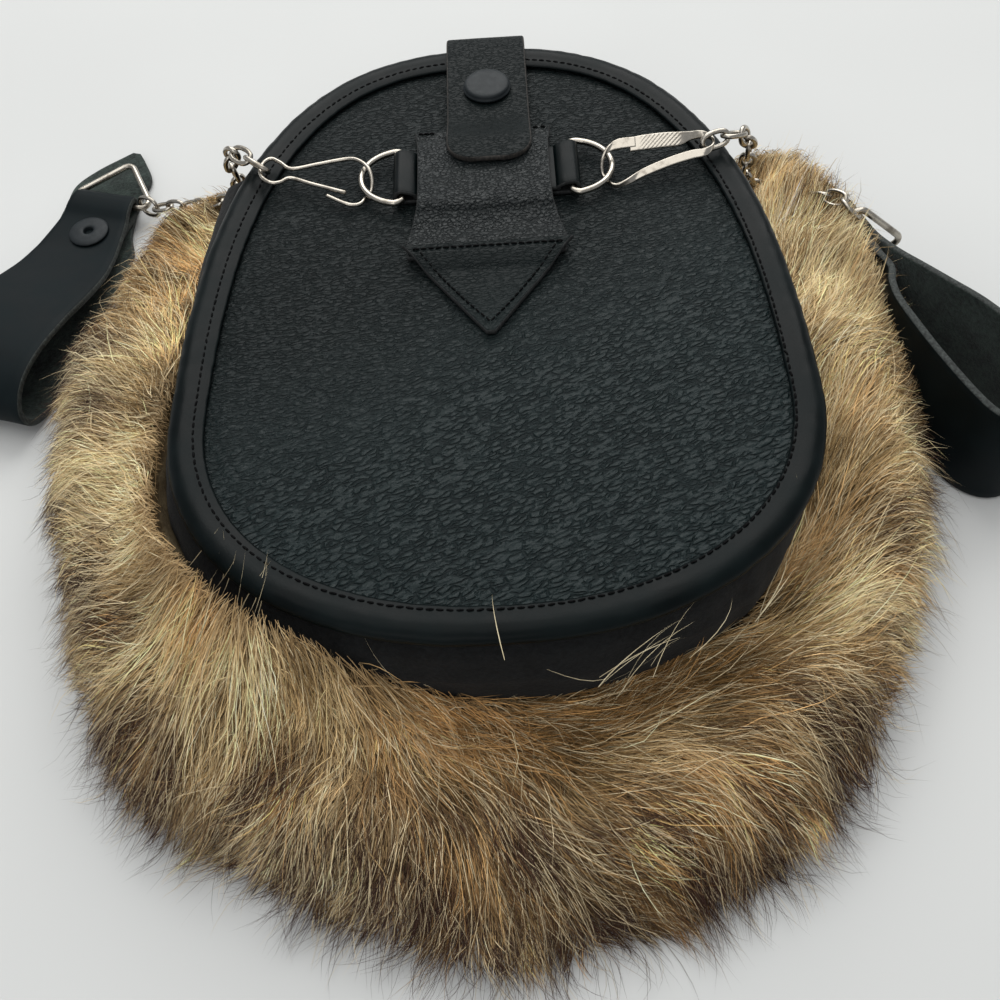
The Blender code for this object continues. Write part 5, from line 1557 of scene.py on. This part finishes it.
# Each coat of hair, in millimetres and in shares of the way from the pouch's wall to the rim:
# band, turn: where it roots, by share and by degrees round the pelt
# sink, lift: how deep it roots, as a share of the height there, and how high its tips stand over it
# stray: how far it leaves the lie; pull, fine: how far it is drawn into locks and into wisps
# reach, shade: how far out its tips may go, and how far its colour is dimmed as painted shade, most for the
# low coat under the others
# pale, black, tipped, darker: how many hairs are white, dark, and dark at the tip, and by how much darker
COATS = {
    "pelt_hair_low": dict(
        seed=101, count=14500, band=(-0.02, 0.90), turn=(0, 360), length=(13, 25), width=(0.24, 0.38),
        sink=(0.60, 0.95), lift=(-1.0, 2.0), stray=0.26, pull=(0.1, 0.4), fine=(0.1, 0.5),
        reach=(0.70, 0.84), shade=0.68, pale=0.03, black=0.06, tipped=0.6, darker=0.0),
    "pelt_hair_middle": dict(
        seed=102, count=18300, band=(-0.02, 0.88), turn=(0, 360), length=(17, 32), width=(0.17, 0.28),
        sink=(0.65, 1.0), lift=(0.0, 4.0), stray=0.22, pull=(0.25, 0.65), fine=(0.3, 0.75),
        reach=(0.72, 0.90), shade=0.94, pale=0.09, black=0.12, tipped=0.8, darker=0.0),
    "pelt_hair_rim": dict(
        seed=103, count=15500, band=(0.42, 0.92), turn=(0, 360), length=(16, 30), width=(0.13, 0.21),
        sink=(0.35, 1.0), lift=(-1.0, 6.0), stray=0.24, pull=(0.3, 0.8), fine=(0.6, 1.0),
        reach=(0.76, 0.96), shade=1.0, pale=0.12, black=0.30, tipped=1.0, darker=0.10),
    "pelt_guard": dict(
        seed=104, count=17200, band=(-0.02, 0.88), turn=(0, 360), length=(24, 44), width=(0.15, 0.29),
        sink=(0.70, 1.0), lift=(1.0, 8.0), stray=0.36, pull=(0.1, 0.6), fine=(0.0, 0.5),
        reach=(0.78, 1.00), shade=0.98, pale=0.32, black=0.18, tipped=1.0, darker=0.05),
    "pelt_collar": dict(
        seed=105, count=8000, band=(-0.03, 0.16), turn=(130, 345), length=(9, 18), width=(0.16, 0.28),
        sink=(0.85, 1.0), lift=(1.0, 6.0), stray=0.45, pull=(0.1, 0.4), fine=(0.2, 0.6),
        reach=(0.90, 1.00), shade=1.0, pale=0.22, black=0.06, tipped=0.2, darker=0.0),
    "pelt_back_edge": dict(
        seed=108, count=3100, band=(0.60, 0.98), turn=(46, 140), length=(12, 22), width=(0.16, 0.28),
        sink=(0.05, 0.95), lift=(-1.0, 2.0), stray=0.34, pull=(0.1, 0.4), fine=(0.2, 0.6),
        reach=(0.94, 1.12), shade=0.95, pale=0.12, black=0.10, tipped=0.5, darker=0.0),
    "pelt_fringe": dict(
        seed=106, count=8500, band=(0.58, 0.90), turn=(0, 360), length=(16, 32), width=(0.09, 0.15),
        sink=(0.30, 1.0), lift=(-1.0, 8.0), stray=0.26, pull=(0.2, 0.7), fine=(0.6, 1.0),
        reach=(0.88, 1.20), shade=0.9, pale=0.10, black=0.95, tipped=1.5, darker=0.30),
}
FAR_HAIR = 0.05                                # how much farther one hair in ten may reach
LOCKS = Locks(201, 400, (26, 40), 0.36, 0.42)
WISPS = Locks(202, 3400, (20, 36), 0.28, 0.38)


def make_coat(name, coat):
    """One coat of hair over a band of the pelt; hairs that would reach too far are combed again, shorter."""
    random = np.random.default_rng(coat["seed"])
    count = coat["count"]
    roots = scatter(random, count, coat["band"], coat["turn"])
    angle, root_share = polar(roots)
    room = around(REACH, angle) - around(POUCH, angle)
    lengths = random.uniform(*coat["length"], count) * np.clip(room / 36.0, 0.5, 1.0)
    state = random.bit_generator.state
    flat = comb(random, roots, lengths, POINTS - 1, coat["stray"])
    tip_share = polar(flat[:, -1])[1]
    limit = random.uniform(*coat["reach"], count) + FAR_HAIR * (random.uniform(0, 1, count) > 0.9)
    spare = (limit - root_share) / np.maximum(tip_share - root_share, 0.01)
    lengths = lengths * np.where(tip_share > limit, np.clip(spare, 0.25, 1.0), 1.0)
    random.bit_generator.state = state
    flat = comb(random, roots, lengths, POINTS - 1, coat["stray"])
    heights = raise_hair(random, flat, lengths, coat["sink"], coat["lift"])
    route = np.concatenate([flat, heights[:, :, None]], axis=2)
    route, lock_tone = LOCKS.gather(random, route, lengths, coat["pull"], 1.4)
    route, wisp_tone = WISPS.gather(random, route, lengths, coat["fine"], 1.0)
    route[:, :, 2] = np.maximum(route[:, :, 2], 0.4)
    widths = random.uniform(*coat["width"], count)
    strands(name, route, widths, hair_colours(random, route, coat, lock_tone + wisp_tone), random)


# Where loose hairs start and end over the seam, and how many
STRAY_ROWS = [
    ((0.0, -70.0, 57.0), (-5.8, -55.4, 62.0), 1), ((-70.0, -46.5, 46.0), (-64.7, -37.3, 59.0), 2),
    ((-62.0, -58.0, 46.0), (-52.8, -46.0, 60.0), 3), ((-64.0, -56.0, 46.0), (-56.0, -49.9, 60.0), 2),
    ((-76.0, -40.0, 46.0), (-68.2, -30.2, 58.0), 1), ((-27.0, -70.0, 38.0), (-30.0, -64.0, 50.0), 1),
    ((-70.0, -50.0, 46.0), (-59.1, -41.6, 60.0), 2), ((22.0, -73.5, 42.0), (40.0, -65.1, 52.0), 3),
    ((27.0, -74.5, 42.0), (42.0, -64.0, 53.0), 3), ((33.0, -73.5, 43.0), (41.5, -63.0, 54.0), 2),
    ((6.4, -70.5, 44.0), (22.7, -71.3, 48.0), 1), ((44.0, -69.0, 42.0), (56.0, -58.0, 50.0), 3),
    ((60.0, -60.0, 42.0), (68.0, -47.0, 50.0), 3), ((76.0, -42.0, 46.0), (72.2, -29.5, 56.0), 1),
]


def make_stray():
    """Single hairs that lie over the binding and the seam."""
    random = np.random.default_rng(107)
    routes = []
    for foot, tip, count in STRAY_ROWS:
        foot, tip = np.array(foot, dtype=float), np.array(tip, dtype=float)
        for _ in range(count):
            start = foot + random.normal(0.0, 1.4, 3) * np.array([1.0, 1.0, 0.3])
            end = tip + random.normal(0.0, 2.4, 3) * np.array([1.0, 1.0, 0.3])
            bend = random.normal(0.0, 2.0, 3)
            s = np.linspace(0.0, 1.0, POINTS)[:, None]
            routes.append(start + (end - start) * s + bend * s * (1.0 - s) * 2.0)
    routes = np.stack(routes)
    colours = np.tile(WHITE_HAIR * 0.9, (*routes.shape[:2], 1))
    colours = colours * random.uniform(0.6, 1.0, (len(routes), 1, 1))
    strands("pelt_stray", routes, random.uniform(0.16, 0.28, len(routes)), colours, random)


make_undercoat()
make_stray()
for coat_name, coat_values in COATS.items():
    make_coat(coat_name, coat_values)
